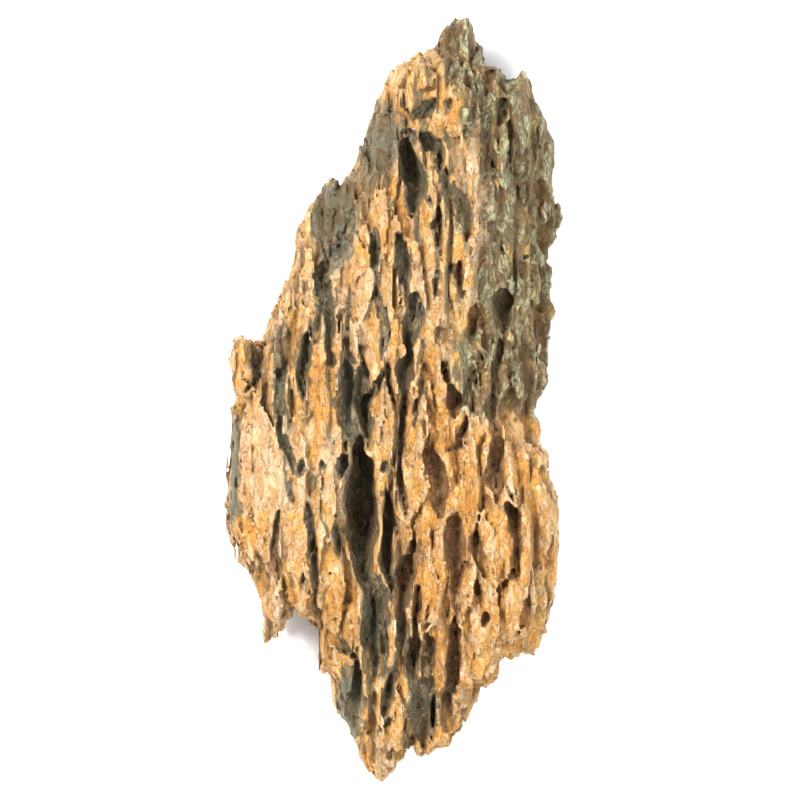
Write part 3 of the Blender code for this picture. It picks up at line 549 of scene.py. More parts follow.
@dataclass(frozen=True)
class SidePits:
    """Hollows that chance spreads over the flanks and the underside."""

    flank: int = 170
    back: int = 60
    heights: tuple[float, float] = (5.0, 44.0)
    lengths: tuple[float, float] = (9.0, 30.0)
    slenderness: tuple[float, float] = (3.0, 6.0)
    flank_depths: tuple[float, float] = (0.6, 1.3)  # as shares of a pit's width
    back_depths: tuple[float, float] = (0.5, 0.9)
    back_reach: tuple[float, float] = (50.0, 130.0)  # how far from the middle the underside's may lie
    back_rim: float = 10.0  # and how far in from the outline
    settling: int = 6  # steps by which a place is brought onto the skin
    seed: int = 7

    def spread(self, slab: Slab) -> Iterator[SidePit]:
        """Places the hollows.

        Args:
            slab: The slab whose surface they lie on.

        Yields:
            Each hollow.
        """
        random = np.random.default_rng(self.seed)
        points, outward = self._rim_places(random.uniform(0.0, 1.0, self.flank))
        for (x, y), (out_x, out_y) in zip(points, outward):
            z = random.uniform(*self.heights)
            for _ in range(self.settling):
                sunk = float(slab.depth(np.array(x), np.array(y), np.array(z)))
                x, y = x + out_x * sunk, y + out_y * sunk
            length = random.uniform(*self.lengths)
            width = length / random.uniform(*self.slenderness)
            depth = width * random.uniform(*self.flank_depths)
            yield SidePit(np.array([x, y, z]), np.array([out_x, out_y, 0.0]), length, width, depth)
        for _ in range(self.back):
            x, y = (random.uniform(-far, far) for far in self.back_reach)
            length = random.uniform(*self.lengths)
            width = length / random.uniform(*self.slenderness)
            if inset(OUTLINE, np.array(x), np.array(y)) > self.back_rim:
                point = np.array([x, y, float(slab.back_height(np.array(x), np.array(y)))])
                depth = width * random.uniform(*self.back_depths)
                yield SidePit(point, np.array([0.0, 0.0, -1.0]), length, width, depth)

    @staticmethod
    def _rim_places(shares: np.ndarray) -> tuple[np.ndarray, np.ndarray]:
        """Finds places on the outline.

        Args:
            shares: How far round the outline each lies, from 0 to 1.

        Returns:
            The places, and the directions that lead out of the outline there.
        """
        corners = np.array(OUTLINE, float)
        sides = np.roll(corners, -1, axis=0) - corners
        lengths = np.hypot(*sides.T)
        ends = np.cumsum(lengths)
        side = np.searchsorted(ends, shares * ends[-1])
        left_over = (ends[side] - shares * ends[-1]) / lengths[side]
        points = corners[side] + sides[side] * (1.0 - left_over)[:, None]
        return points, np.stack([-sides[side, 1], sides[side, 0]], axis=1) / lengths[side][:, None]


class StoneField:
    """The field of the stone on a regular grid.

    Args:
        slab: The slab that it starts as.
        step: The spacing of the grid in millimetres.
    """

    RIM_SOFTNESS = 0.5  # how far the rim of a pit is worn round
    BLUNT_END = 0.55  # power of a pit's outline at its upper end
    POINTED_END = 0.9
    FLOOR_RISE = 0.4  # how far a pit's floor rises towards its lower end, as a share of its depth
    UNDERCUT = 0.35  # how far a pit runs up the stone for each millimetre that it goes in
    FLOOR_CURVE = 0.9  # how much a pit's floor rises towards both its ends
    LEAST_HALF = 0.3  # the least half width that a pit's depth is measured by
    FULL_WOBBLE = 6.0  # the width from which a pit's walls wander fully
    WORN_RIM = 1.2  # how far beyond a pit its colour reaches
    CLEARANCE = 3.0  # how far beyond a pit the field is worked
    STEEP = 0.6  # a flank that faces along the stone this much takes upright pits
    BOSS_ROOT = 3.0
    BOSS_CLEARANCE = 4.0
    BOSS_SOFTNESS = 1.5
    WOBBLE = (  # how a pit's walls wander
        (2.2, Waves((9.0, 15.0, 20.0), 31)), (1.1, Waves((3.5, 5.5, 20.0), 32)),
    )

    def __init__(self, slab: Slab, step: float) -> None:
        """Fills the grid with the slab."""
        self.slab = slab
        self.step = step
        self.axes = [np.arange(low, high, step) for low, high in zip(LOW, HIGH)]
        x, y, z = self.axes
        self.edge = inset(OUTLINE, x[:, None], y[None, :])
        self.body = slab.depth(x[:, None, None], y[None, :, None], z[None, None, :]).astype(np.float32)
        self.field = self.body.copy()
        self.hollow = np.zeros_like(self.body)
        plan = np.broadcast_arrays(x[:, None, None], y[None, :, None], np.zeros((1, 1, 1)))
        self.wobble = sum(height * wave.at(plan) for height, wave in self.WOBBLE)

    def carve_face(self, pit: Pit) -> None:
        """Carves a hollow of the face, which goes straight down.

        Args:
            pit: The hollow.
        """
        lean = math.radians(pit.lean)
        along = (math.sin(lean), math.cos(lean), 0.0)
        across = (math.cos(lean), -math.sin(lean), 0.0)
        top = float(self.slab.face_height(np.array(pit.x), np.array(pit.y)))
        wide = pit.length / 2 + self.UNDERCUT * pit.depth + self.CLEARANCE
        reach = (wide, wide, pit.depth + self.CLEARANCE)
        self._carve((pit.x, pit.y, top), reach, along, across, (pit.length, pit.width, pit.depth))

    def carve_side(self, pit: SidePit) -> None:
        """Carves a hollow of the flank or the underside.

        Args:
            pit: The hollow.
        """
        grain = np.array([0.0, 1.0, 0.0])
        along = grain - pit.outward * (grain @ pit.outward)
        if np.linalg.norm(along) < self.STEEP:
            along = np.array([0.0, 0.0, 1.0])
        along /= np.linalg.norm(along)
        reach = (pit.length / 2 + pit.depth,) * 3
        size = (pit.length, pit.width, pit.depth)
        self._carve(pit.point, reach, along, np.cross(pit.outward, along), size)

    def raise_boss(self, boss: Boss) -> None:
        """Adds a lump to the face.

        Args:
            boss: The lump.
        """
        lean = math.radians(boss.lean)
        top = float(self.slab.face_height(np.array(boss.x), np.array(boss.y)))
        tall = self.BOSS_ROOT + max(boss.width / 2, boss.rise)
        wide = boss.length / 2 + self.BOSS_CLEARANCE
        reach = (wide, wide, tall + self.BOSS_CLEARANCE)
        slices, (dx, dy, dz) = self._box((boss.x, boss.y, top + boss.rise - tall), reach)
        run = (dx * math.sin(lean) + dy * math.cos(lean)) / (boss.length / 2)
        side = (dx * math.cos(lean) - dy * math.sin(lean)) / (boss.width / 2)
        lump = (1.0 - np.sqrt(run**2 + side**2 + (dz / tall) ** 2)) * boss.width / 2
        self.field[slices] = -smooth_least(-self.field[slices], -lump, self.BOSS_SOFTNESS)

    def near_skin(self, band: float) -> tuple[tuple[np.ndarray, ...], list[np.ndarray]]:
        """Returns the indices of the grid's points this near the skin, and their X, Y and Z."""
        near = np.nonzero(np.abs(self.field) < band)
        return near, [axis[index] for axis, index in zip(self.axes, near)]

    def read(self, values: np.ndarray, points: np.ndarray) -> np.ndarray:
        """Reads a grid between its points.

        Args:
            values: A grid of the field's shape.
            points: Places, one to a row.

        Returns:
            The value at each place.
        """
        place = np.clip((points - LOW) / self.step, 0.0, np.array(values.shape) - LAST_CELL)
        cell = place.astype(int)
        part = place - cell
        total = np.zeros(len(points))
        for corner in np.ndindex(2, 2, 2):
            side = np.array(corner)
            weight = np.prod(np.where(side, part, 1.0 - part), axis=1)
            total += weight * values[tuple((cell + side).T)]
        return total

    def _box(
        self, middle: Sequence[float], reach: Sequence[float]
    ) -> tuple[tuple[slice, ...], tuple[np.ndarray, ...]]:
        """Finds the part of the grid round a place.

        Args:
            middle: The place.
            reach: How far the part goes from it along X, Y and Z.

        Returns:
            The part, and its points' distances from the place along X, Y and Z.
        """
        slices = tuple(
            slice(*np.searchsorted(axis, (centre - far, centre + far)))
            for axis, centre, far in zip(self.axes, middle, reach)
        )
        offsets = np.ix_(*(axis[part] - centre for axis, part, centre in zip(self.axes, slices, middle)))
        return slices, offsets

    def _carve(
        self,
        middle: Sequence[float],
        reach: Sequence[float],
        along: Sequence[float],
        across: Sequence[float],
        size: tuple[float, float, float],
    ) -> None:
        """Carves a lens-shaped hollow.

        Args:
            middle: The middle of its mouth.
            reach: How far it may go from there along X, Y and Z.
            along: The direction of its upper end.
            across: The direction across it.
            size: Its length, width and depth.
        """
        length, width, depth = size
        slices, offsets = self._box(middle, reach)
        below = self.body[slices]
        run = sum(a * o for a, o in zip(along, offsets)) - self.UNDERCUT * np.maximum(below, 0.0)
        wandering = min(1.0, width / self.FULL_WOBBLE)
        side = sum(a * o for a, o in zip(across, offsets)) + self.wobble[slices[:2]] * wandering
        share = np.clip(np.abs(run) / (length / 2), 0.0, 1.0)
        half = (width / 2) * (1.0 - share**2) ** np.where(run > 0.0, self.BLUNT_END, self.POINTED_END)
        beyond = np.maximum(np.abs(run) - length / 2, 0.0)
        floor = depth * np.sqrt(1.0 - self.FLOOR_CURVE * share**3)
        floor = floor * np.where(run > 0.0, 1.0, 1.0 - self.FLOOR_RISE * share)
        deep = np.maximum(below, 0.0) * np.maximum(half, self.LEAST_HALF) / floor
        away = np.sqrt(side**2 + deep**2 + beyond**2) - half
        self.field[slices] = smooth_least(self.field[slices], away, self.RIM_SOFTNESS)
        self.hollow[slices] = np.maximum(self.hollow[slices], smooth_step(self.WORN_RIM - away))


class Skin:
    """The surface of a field, as points and faces.

    Args:
        stone: The field.
    """

    JUST_INSIDE = np.float32(0.02)  # the value of a point that is filled

    def __init__(self, stone: StoneField) -> None:
        """Keeps the field."""
        self.stone = stone

    def closed_field(self) -> np.ndarray:
        """Fills the grid points where the rock would touch itself only along an edge.

        Returns:
            The field, whose surface is then simple.
        """
        field = self.stone.field
        inside = field > 0
        filled = True
        while filled:
            filled = False
            for axes in ((0, 1), (0, 2), (1, 2)):
                for first, second in (((0, 0), (1, 1)), ((0, 1), (1, 0))):
                    third, fourth = (first[0], second[1]), (second[0], first[1])
                    pinched = self._shifted(inside, axes, first) & self._shifted(inside, axes, second)
                    pinched &= ~self._shifted(inside, axes, third) & ~self._shifted(inside, axes, fourth)
                    if pinched.any():
                        self._shifted(inside, axes, third)[pinched] = True
                        filled = True
        return np.where(inside & (field <= 0), self.JUST_INSIDE, field)

    def drawn(self) -> tuple[np.ndarray, np.ndarray]:
        """Draws the surface: a point in each cell that it crosses, and a face across each edge.

        Returns:
            The points in millimetres, and the faces as rows of four points.
        """
        values = self.closed_field()
        corners = list(np.ndindex(2, 2, 2))
        shape = [n - 1 for n in values.shape]
        shifted = [values[tuple(slice(c, c + n) for c, n in zip(corner, shape))] for corner in corners]
        count = sum((part > 0).astype(np.int8) for part in shifted)
        crossed = (count > 0) & (count < 8)
        cells = np.argwhere(crossed)
        at = np.stack([part[crossed] for part in shifted]).astype(float)
        total, crossings = np.zeros((len(cells), 3)), np.zeros(len(cells))
        for a, first in enumerate(corners):
            for b, second in enumerate(corners):
                if b <= a or sum(abs(p - q) for p, q in zip(first, second)) != 1:
                    continue
                crossing = (at[a] > 0) != (at[b] > 0)
                share = np.where(crossing, at[a] / np.where(crossing, at[a] - at[b], 1.0), 0.0)
                place = np.array(first) + share[:, None] * (np.array(second) - np.array(first))
                total += np.where(crossing[:, None], place, 0.0)
                crossings += crossing
        points = (cells + total / crossings[:, None]) * self.stone.step + LOW
        number = np.full(shape, -1, np.int32)
        number[crossed] = np.arange(len(cells))
        return points, np.concatenate([self._faces_across(values, number, axis) for axis in range(3)])

    @staticmethod
    def _shifted(array: np.ndarray, axes: tuple[int, int], shift: tuple[int, int]) -> np.ndarray:
        """Takes all the points of a grid but the last, or all but the first, along two axes.

        Args:
            array: The grid.
            axes: The axes.
            shift: 1 where the first point is left out, and 0 where the last is.

        Returns:
            That part of the grid.
        """
        index = [slice(None)] * 3
        for axis, offset in zip(axes, shift):
            index[axis] = slice(offset, array.shape[axis] - 1 + offset)
        return array[tuple(index)]

    @staticmethod
    def _faces_across(values: np.ndarray, number: np.ndarray, axis: int) -> np.ndarray:
        """Draws a face across each edge of the grid that the surface cuts.

        Args:
            values: The field.
            number: The number of each cell's point.
            axis: The axis that the edges run along.

        Returns:
            The faces as rows of four points.
        """
        order = (axis, (axis + 1) % 3, (axis + 2) % 3)
        low = np.moveaxis(values, order, (0, 1, 2))
        numbers = np.moveaxis(number, order, (0, 1, 2))
        near, far = low[:-1, 1:-1, 1:-1] > 0, low[1:, 1:-1, 1:-1] > 0
        ring = [numbers[:, :-1, :-1], numbers[:, 1:, :-1], numbers[:, 1:, 1:], numbers[:, :-1, 1:]]
        faces = []
        for leaving, turn in ((near & ~far, 1), (~near & far, -1)):
            faces.append(np.stack([part[leaving] for part in ring], axis=1)[:, ::turn])
        return np.concatenate(faces)


@dataclass(frozen=True)
class Rim:
    """How the relief of the plates dies away towards the outline."""

    width: float = 14.0  # how far in from the outline it is whole
    least: float = 0.3  # the share of it that is left at the outline
    filling: float = 0.7  # what the outline gains in its place


@dataclass(frozen=True)
class Flutes:
    """Long grooves that part the plates, where smooth noise crosses zero."""

    waves: Waves = Waves((8.0, 34.0, 8.0), 13)
    height: float = 2.6
    crown: float = 0.45
    slope: float = 1.8
    bend: float = 3.0  # how far the broad waves push them about

    def at(self, points: Sequence[np.ndarray], bent: np.ndarray) -> np.ndarray:
        """Returns the height that they add at each point, where bent is the broad waves there."""
        pushed = [value + self.bend * bent for value in points]
        return self.height * (self.crown - self.slope * np.abs(self.waves.at(pushed)))


@dataclass(frozen=True)
class Wrinkles:
    """Fine winding creases, in three sizes."""

    waves: tuple[Waves, ...] = (
        Waves((3.4, 5.6, 3.4), 21), Waves((1.9, 3.0, 1.9), 22), Waves((1.1, 1.9, 1.1), 23),
    )
    heights: tuple[float, ...] = (0.42, 0.32, 0.18)
    crown: float = 0.35
    slope: float = 1.6
    bend: float = 1.6

    def at(self, points: Sequence[np.ndarray], pushes: Sequence[np.ndarray]) -> np.ndarray:
        """Gives the height that they add.

        Args:
            points: Three arrays: X, Y and Z.
            pushes: How far each point is pushed along X, Y and Z, from -1 to 1.

        Returns:
            The height at each point.
        """
        pushed = [value + self.bend * push for value, push in zip(points, pushes)]
        return sum(
            height * (self.crown - self.slope * np.abs(wave.at(pushed)))
            for wave, height in zip(self.waves, self.heights)
        )


@dataclass(frozen=True)
class StoneShape:
    """Builds the stone's mesh. step is the field's grid, and triangles is how many the mesh may have."""

    step: float = 0.8
    triangles: int = 194_000
    plates: Plates = Plates((11.0, 38.0, 11.0), 3, 1.6, (4.6, 1.8), (1.6, 2.4), 0.8, 3.6, (1.7, 2.2))
    slivers: Plates = Plates((3.4, 14.0, 3.4), 5, 0.4, (0.9, 0.5), (0.4, 0.7), 0.3, 1.6, (0.7, 0.6))
    leaves: Plates = Plates((6.2, 22.0, 6.2), 9, 0.7, (2.4, 0.9), (0.8, 1.2), 0.5, 2.4, (1.0, 0.9))
    flutes: Flutes = Flutes()
    wrinkles: Wrinkles = Wrinkles()
    rim: Rim = Rim()
    broad_waves: Waves = Waves((12.0, 22.0, 12.0), 11)
    small_waves: Waves = Waves((2.6, 6.0, 2.6), 12)
    wave_height: float = 1.2
    split_band: float = 9.0  # how near the skin the plates are worked
    worn_band: float = 3.2  # and the slivers and wrinkles
    side_hollow: float = 0.45  # how much of the hollows' colour the flank's pits show
    deep_calm: tuple[float, float, float] = (0.35, 3.0, 5.0)  # how far the wear fades, from where, over what
    calm_share: float = 0.6  # how much a calm place fades the wear
    shelter_reaches: tuple[float, ...] = (1.5, 3.0, 6.0, 10.0)
    crest_reaches: tuple[float, ...] = (1.0, 2.2)
    shaded_border: float = 1.5  # how wide the edge of the upper right's painted shade is
    shaded_ragged: tuple[float, float, float] = (4.0, 5.0, 2.0)  # how far it wanders across, and twice along
    film_ragged: tuple[float, float] = (2.0, 4.0)
    side_tilt: float = 0.4  # how far up a wall faces where film and slate start to break up on it
    side_sway: float = 8.0  # how far their edges wander there
    side_breaks: float = 1.2  # how sharply they are broken off there

    def build(self) -> bpy.types.Mesh:
        """Shapes the field and draws its skin.

        Returns:
            The mesh, with the attributes that the clay's finish reads.
        """
        slab = Slab()
        stone = StoneField(slab, self.step)
        for boss in BOSSES:
            stone.raise_boss(boss)
        self._split(stone)
        log.info("split the slab into plates")
        self._pit(stone, slab)
        log.info("carved %d pits of the face", len(FACE_PITS))
        self._wear(stone)
        log.info("worn")
        points, faces = Skin(stone).drawn()
        log.info("drew %d faces", len(faces))
        mesh = self._thinned(self._main_body(points, faces))
        self._rest_flat(mesh)
        self._write_attributes(mesh, stone)
        return mesh

    def _split(self, stone: StoneField) -> None:
        """Splits the slab into plates and leaves, parted by flutes.

        Args:
            stone: The field.
        """
        near, points = stone.near_skin(self.split_band)
        bent = self.broad_waves.at(points)
        from_rim = smooth_step(stone.edge[near[:2]] / self.rim.width)
        relief = self.plates.at(points, bent).height + from_rim * self.leaves.at(points, bent).height
        relief += self.wave_height * bent
        relief += self.flutes.at(points, bent)
        relief *= 1.0 - stained(CALM, *points[:2])
        relief *= self.rim.least + (1.0 - self.rim.least) * from_rim
        stone.field[near] += (relief + self.rim.filling * (1.0 - from_rim)).astype(np.float32)

    def _pit(self, stone: StoneField, slab: Slab) -> None:
        """Carves the pits of the face, the flanks and the underside.

        Args:
            stone: The field.
            slab: The slab that it started as.
        """
        for pit in FACE_PITS:
            stone.carve_face(pit)
        hollow = stone.hollow.copy()
        for side_pit in SidePits().spread(slab):
            stone.carve_side(side_pit)
        stone.hollow = np.maximum(hollow, self.side_hollow * stone.hollow)

    def _wear(self, stone: StoneField) -> None:
        """Wears slivers and wrinkles into the skin, less in the depths of the pits.

        Args:
            stone: The field.
        """
        near, points = stone.near_skin(self.worn_band)
        most, start, width = self.deep_calm
        calm = 1.0 - most * smooth_step((stone.body[near] - start) / width)
        calm *= 1.0 - self.calm_share * stained(CALM, *points[:2])
        bent = self.small_waves.at(points)
        relief = self.slivers.at(points, bent).height
        relief += self.wrinkles.at(points, (bent, self.broad_waves.at(points), -bent))
        stone.field[near] += (calm * relief).astype(np.float32)

    @staticmethod
    def _main_body(points: np.ndarray, faces: np.ndarray) -> bpy.types.Mesh:
        """Keeps the largest of the pieces that the surface falls into.

        Args:
            points: The surface's points in millimetres.
            faces: Its faces as rows of four points.

        Returns:
            The piece, in triangles.
        """
        mesh = bpy.data.meshes.new("fine_skin")
        mesh.from_pydata((points * MM).tolist(), [], faces.tolist())
        body = bmesh.new()
        body.from_mesh(mesh)
        unseen, largest = set(body.faces), []
        while unseen:
            edge, island = [unseen.pop()], []
            while edge:
                face = edge.pop()
                island.append(face)
                for other in (near for side in face.edges for near in side.link_faces):
                    if other in unseen:
                        unseen.remove(other)
                        edge.append(other)
            largest = max(largest, island, key=len)
        kept = set(largest)
        bmesh.ops.delete(body, geom=[face for face in body.faces if face not in kept], context="FACES")
        bmesh.ops.triangulate(body, faces=body.faces[:])
        body.to_mesh(mesh)
        body.free()
        return mesh

    def _thinned(self, mesh: bpy.types.Mesh) -> bpy.types.Mesh:
        """Thins a mesh to as many triangles as the stone may have.

        Args:
            mesh: The mesh.

        Returns:
            The thinner one.
        """
        helper = bpy.data.objects.new("fine_skin", mesh)
        bpy.context.scene.collection.objects.link(helper)
        thin = helper.modifiers.new("Thin", "DECIMATE")
        thin.ratio = min(1.0, self.triangles / len(mesh.polygons))
        bpy.context.view_layer.update()
        evaluated = helper.evaluated_get(bpy.context.evaluated_depsgraph_get())
        thinned = bpy.data.meshes.new_from_object(evaluated)
        bpy.data.objects.remove(helper)
        return thinned

    @staticmethod
    def _rest_flat(mesh: bpy.types.Mesh) -> None:
        """Presses what lies below the floor flat onto it.

        Args:
            mesh: The stone's mesh.
        """
        places = np.empty(len(mesh.vertices) * 3, np.float32)
        mesh.vertices.foreach_get("co", places)
        places[2::3] = np.maximum(places[2::3], 0.0)
        mesh.vertices.foreach_set("co", places)
        mesh.update()

    def _write_attributes(self, mesh: bpy.types.Mesh, stone: StoneField) -> None:
        """Gives each vertex the numbers that the clay's finish reads.

        Args:
            mesh: The stone's mesh.
            stone: The field that it was drawn from.
        """
        places, normals = (np.empty(len(mesh.vertices) * 3, np.float32) for _ in range(2))
        mesh.vertices.foreach_get("co", places)
        mesh.vertices.foreach_get("normal", normals)
        places, normals = places.reshape(-1, 3).astype(float) / MM, normals.reshape(-1, 3)
        # shelter measures how closed in a place is, and crest how sharp an edge it lies on; the finish paints
        # shade in sheltered places and pale crests, partly as painted highlight, from them
        shelter, crest = np.zeros(len(places)), np.zeros(len(places))
        for reach in self.shelter_reaches:
            shelter += np.clip(stone.read(stone.field, places + normals * reach) / reach + 1.0, 0.0, 1.0)
        for reach in self.crest_reaches:
            crest += np.clip(1.0 - stone.read(stone.field, places - normals * reach) / reach, 0.0, 1.0)
        columns = list(places.T)
        x, y = columns[:2]
        broad, small = self.broad_waves.at(columns), self.small_waves.at(columns)
        # The upper right's painted shade, with a ragged edge
        side, far, near = self.shaded_ragged
        ragged = inset(SHADED_ZONE, x + side * small, y + far * broad + near * small)
        film_x, film_y = x + self.film_ragged[0] * small, y + self.film_ragged[1] * broad
        beside = smooth_step(1.0 - normals[:, 2] / self.side_tilt)
        sway = self.side_sway * beside * small
        kept = 1.0 - beside * smooth_step(0.5 + self.side_breaks * broad)
        values = {
            "pit_depth": stone.read(stone.body, places),
            "shelter": shelter / len(self.shelter_reaches),
            "crest": crest / len(self.crest_reaches),
            "plate_tone": self.plates.at(columns, broad).tone,
            "shaded_zone": smooth_step(0.5 + ragged / self.shaded_border),
            "hollow": stone.read(stone.hollow, places),
            "film": kept * stained(FILM, film_x, film_y + sway),
            "rust": stained(RUST, x, y),
            "slate": kept * stained(SLATE, x, y + sway),
        }
        for name, value in values.items():
            layer = mesh.attributes.new(name, "FLOAT", "POINT")
            layer.data.foreach_set("value", value.astype(np.float32))


class Clay(Enum):
    """The clay's colours, as sRGB in full light, with three olives for the clay as it looks in shade."""

    OCHRE = (0.93, 0.75, 0.40)
    ORANGE = (0.94, 0.65, 0.24)
    TAN = (0.92, 0.78, 0.60)
    CREAM = (0.99, 0.91, 0.75)
    RUST = (0.66, 0.41, 0.20)
    BROWN = (0.52, 0.38, 0.22)
    UMBER = (0.66, 0.47, 0.29)
    SLATE = (0.47, 0.47, 0.38)
    BLUE_SLATE = (0.46, 0.49, 0.44)
    OLIVE = (0.47, 0.42, 0.28)
    FILM = (0.58, 0.56, 0.46)
    # The clay as it looks in shade, for the upper right's painted shade
    SHADE_OLIVE = (0.57, 0.50, 0.32)
    DARK_SHADE_OLIVE = (0.37, 0.31, 0.20)
    PALE_SHADE_OLIVE = (0.75, 0.79, 0.63)
    DARK = (0.30, 0.24, 0.16)

    def linear(self) -> tuple[float, float, float, float]:
        """Returns the colour as a shader takes it, darker because the studio's light is strong."""
        r, g, b = (c / 12.92 if c <= 0.04045 else ((c + 0.055) / 1.055) ** 2.4 for c in self.value)
        return (r * ALBEDO, g * ALBEDO, b * ALBEDO, 1.0)


@dataclass(frozen=True)
class Mask:
    """Where something shows: not at all where a value is at start, and by this share where it is at full."""

    start: float
    full: float
    share: float = 1.0


@dataclass(frozen=True)
class Noise:
    """Smooth noise. size is its waves' length along X, Y and Z, and the rest is about its finer waves."""

    size: tuple[float, float, float]
    detail: float = 3.0
    roughness: float = 0.55


class Wiring:
    """Adds nodes to one tree and joins them.

    Args:
        tree: The node tree.
    """

    RIDGE_BEND = 0.8
    RIDGE_SLOPE = 7.0  # how thin a ridge is

    def __init__(self, tree: bpy.types.NodeTree) -> None:
        """Keeps the tree."""
        self.tree = tree

    def node(self, kind: str, inputs: dict | None = None, **settings: object) -> bpy.types.Node:
        """Adds a node.

        Args:
            kind: Blender's name for the node's type.
            inputs: Values or sockets for its inputs, by name or number.
            settings: Values for the node's own properties.

        Returns:
            The node.
        """
        made = self.tree.nodes.new(kind)
        for name, value in settings.items():
            setattr(made, name, value)
        for name, value in (inputs or {}).items():
            if isinstance(value, bpy.types.NodeSocket):
                self.tree.links.new(value, made.inputs[name])
            else:
                made.inputs[name].default_value = value
        return made

    def maths(self, operation: str, *values: object, clamp: bool = False) -> bpy.types.NodeSocket:
        """Returns the result of a sum, such as MULTIPLY, of numbers or sockets."""
        inputs = dict(enumerate(values))
        return self.node("ShaderNodeMath", inputs, operation=operation, use_clamp=clamp).outputs[0]

    def plus(self, first: object, second: object, share: float = 1.0) -> bpy.types.NodeSocket:
        """Returns the first value plus a share of the second. The share may be negative."""
        return self.maths("MULTIPLY_ADD", second, share, first)

    def times(self, first: object, second: object) -> bpy.types.NodeSocket:
        """Returns the product of two numbers or sockets."""
        return self.maths("MULTIPLY", first, second)

    def vector(self, operation: str, first: object, second: object) -> bpy.types.NodeSocket:
        """Returns the result of a sum of vectors, such as SUBTRACT. SCALE takes a number as second."""
        inputs = {0: first, ("Scale" if operation == "SCALE" else 1): second}
        return self.node("ShaderNodeVectorMath", inputs, operation=operation).outputs[0]

    def mask(self, value: object, mask: Mask) -> bpy.types.NodeSocket:
        """Turns a value into a mask that rises smoothly.

        Args:
            value: The number or socket.
            mask: Where it shows.

        Returns:
            The socket that holds the mask.
        """
        low, high, bottom, top = mask.start, mask.full, 0.0, mask.share
        if low > high:
            low, high, bottom, top = high, low, top, bottom
        inputs = {"Value": value, "From Min": low, "From Max": high, "To Min": bottom, "To Max": top}
        return self.node("ShaderNodeMapRange", inputs, interpolation_type="SMOOTHSTEP").outputs[0]

    def tint(self, amount: object, under: object, over: object) -> bpy.types.NodeSocket:
        """Lays one colour over another.

        Args:
            amount: How much of the upper colour shows, from 0 to 1.
            under: The lower colour.
            over: The upper colour.

        Returns:
            The socket that holds the colour.
        """
        colours = [c.linear() if isinstance(c, Clay) else c for c in (under, over)]
        mixed = self.node("ShaderNodeMix", {0: amount, 6: colours[0], 7: colours[1]}, data_type="RGBA")
        return mixed.outputs[2]

    def lay(self, over: object, value: object, mask: Mask, under: object) -> bpy.types.NodeSocket:
        """Lays the colour over on the colour under, where the mask of the value shows it."""
        return self.tint(self.mask(value, mask), under, over)

    def place(self) -> bpy.types.NodeSocket:
        """Returns the socket of the surface's place in millimetres, in the stone's own frame."""
        return self.vector("SCALE", self.node("ShaderNodeTexCoord").outputs["Object"], 1.0 / MM)

    def cells(
        self, place: bpy.types.NodeSocket, size: tuple[float, float, float], feature: str = "F1"
    ) -> bpy.types.NodeOutputs:
        """Returns the outputs of a pattern of cells of this size along X, Y and Z."""
        inputs = {"Vector": self.vector("DIVIDE", place, size), "Scale": 1.0}
        return self.node("ShaderNodeTexVoronoi", inputs, feature=feature).outputs

    def noise(self, place: bpy.types.NodeSocket, noise: Noise, bend: float = 0.0) -> bpy.types.Node:
        """Adds a noise.

        Args:
            place: The place in millimetres.
            noise: Its kind.
            bend: How much it is bent by itself.

        Returns:
            The node, whose first output is from 0 to 1.
        """
        inputs = {
            "Vector": self.vector("DIVIDE", place, noise.size),
            "Scale": 1.0,
            "Detail": noise.detail,
            "Roughness": noise.roughness,
            "Distortion": bend,
        }
        return self.node("ShaderNodeTexNoise", inputs)

    def ridges(self, place: bpy.types.NodeSocket, noise: Noise) -> bpy.types.NodeSocket:
        """Adds thin winding ridges.

        Args:
            place: The place in millimetres.
            noise: The noise that they follow.

        Returns:
            The socket that holds them: 1 on a ridge, and falling to 0 beside it.
        """
        wave = self.noise(place, noise, self.RIDGE_BEND).outputs[0]
        away = self.maths("ABSOLUTE", self.maths("SUBTRACT", wave, 0.5))
        return self.maths("MULTIPLY_ADD", away, -self.RIDGE_SLOPE, 1.0, clamp=True)

    def attribute(self, name: str) -> bpy.types.NodeSocket:
        """Returns the socket of a number that the mesh holds."""
        return self.node("ShaderNodeAttribute", attribute_name=name).outputs["Fac"]


@dataclass(frozen=True)
class Effect:
    """A shared shader node group."""

    name: str

    def group(self) -> bpy.types.NodeTree:
        """Gives the group, which is made on first use.

        Returns:
            The group's tree.
        """
        tree = bpy.data.node_groups.get(self.name)
        if not tree:
            tree = bpy.data.node_groups.new(self.name, "ShaderNodeTree")
            wiring = Wiring(tree)
            made = self.values(wiring)
            for name in made:
                tree.interface.new_socket(name, in_out="OUTPUT", socket_type="NodeSocketFloat")
            wiring.node("NodeGroupOutput", made)
        return tree

    def values(self, wiring: Wiring) -> dict[str, bpy.types.NodeSocket]:
        """Returns the sockets of what the group puts out, by name."""
        raise NotImplementedError


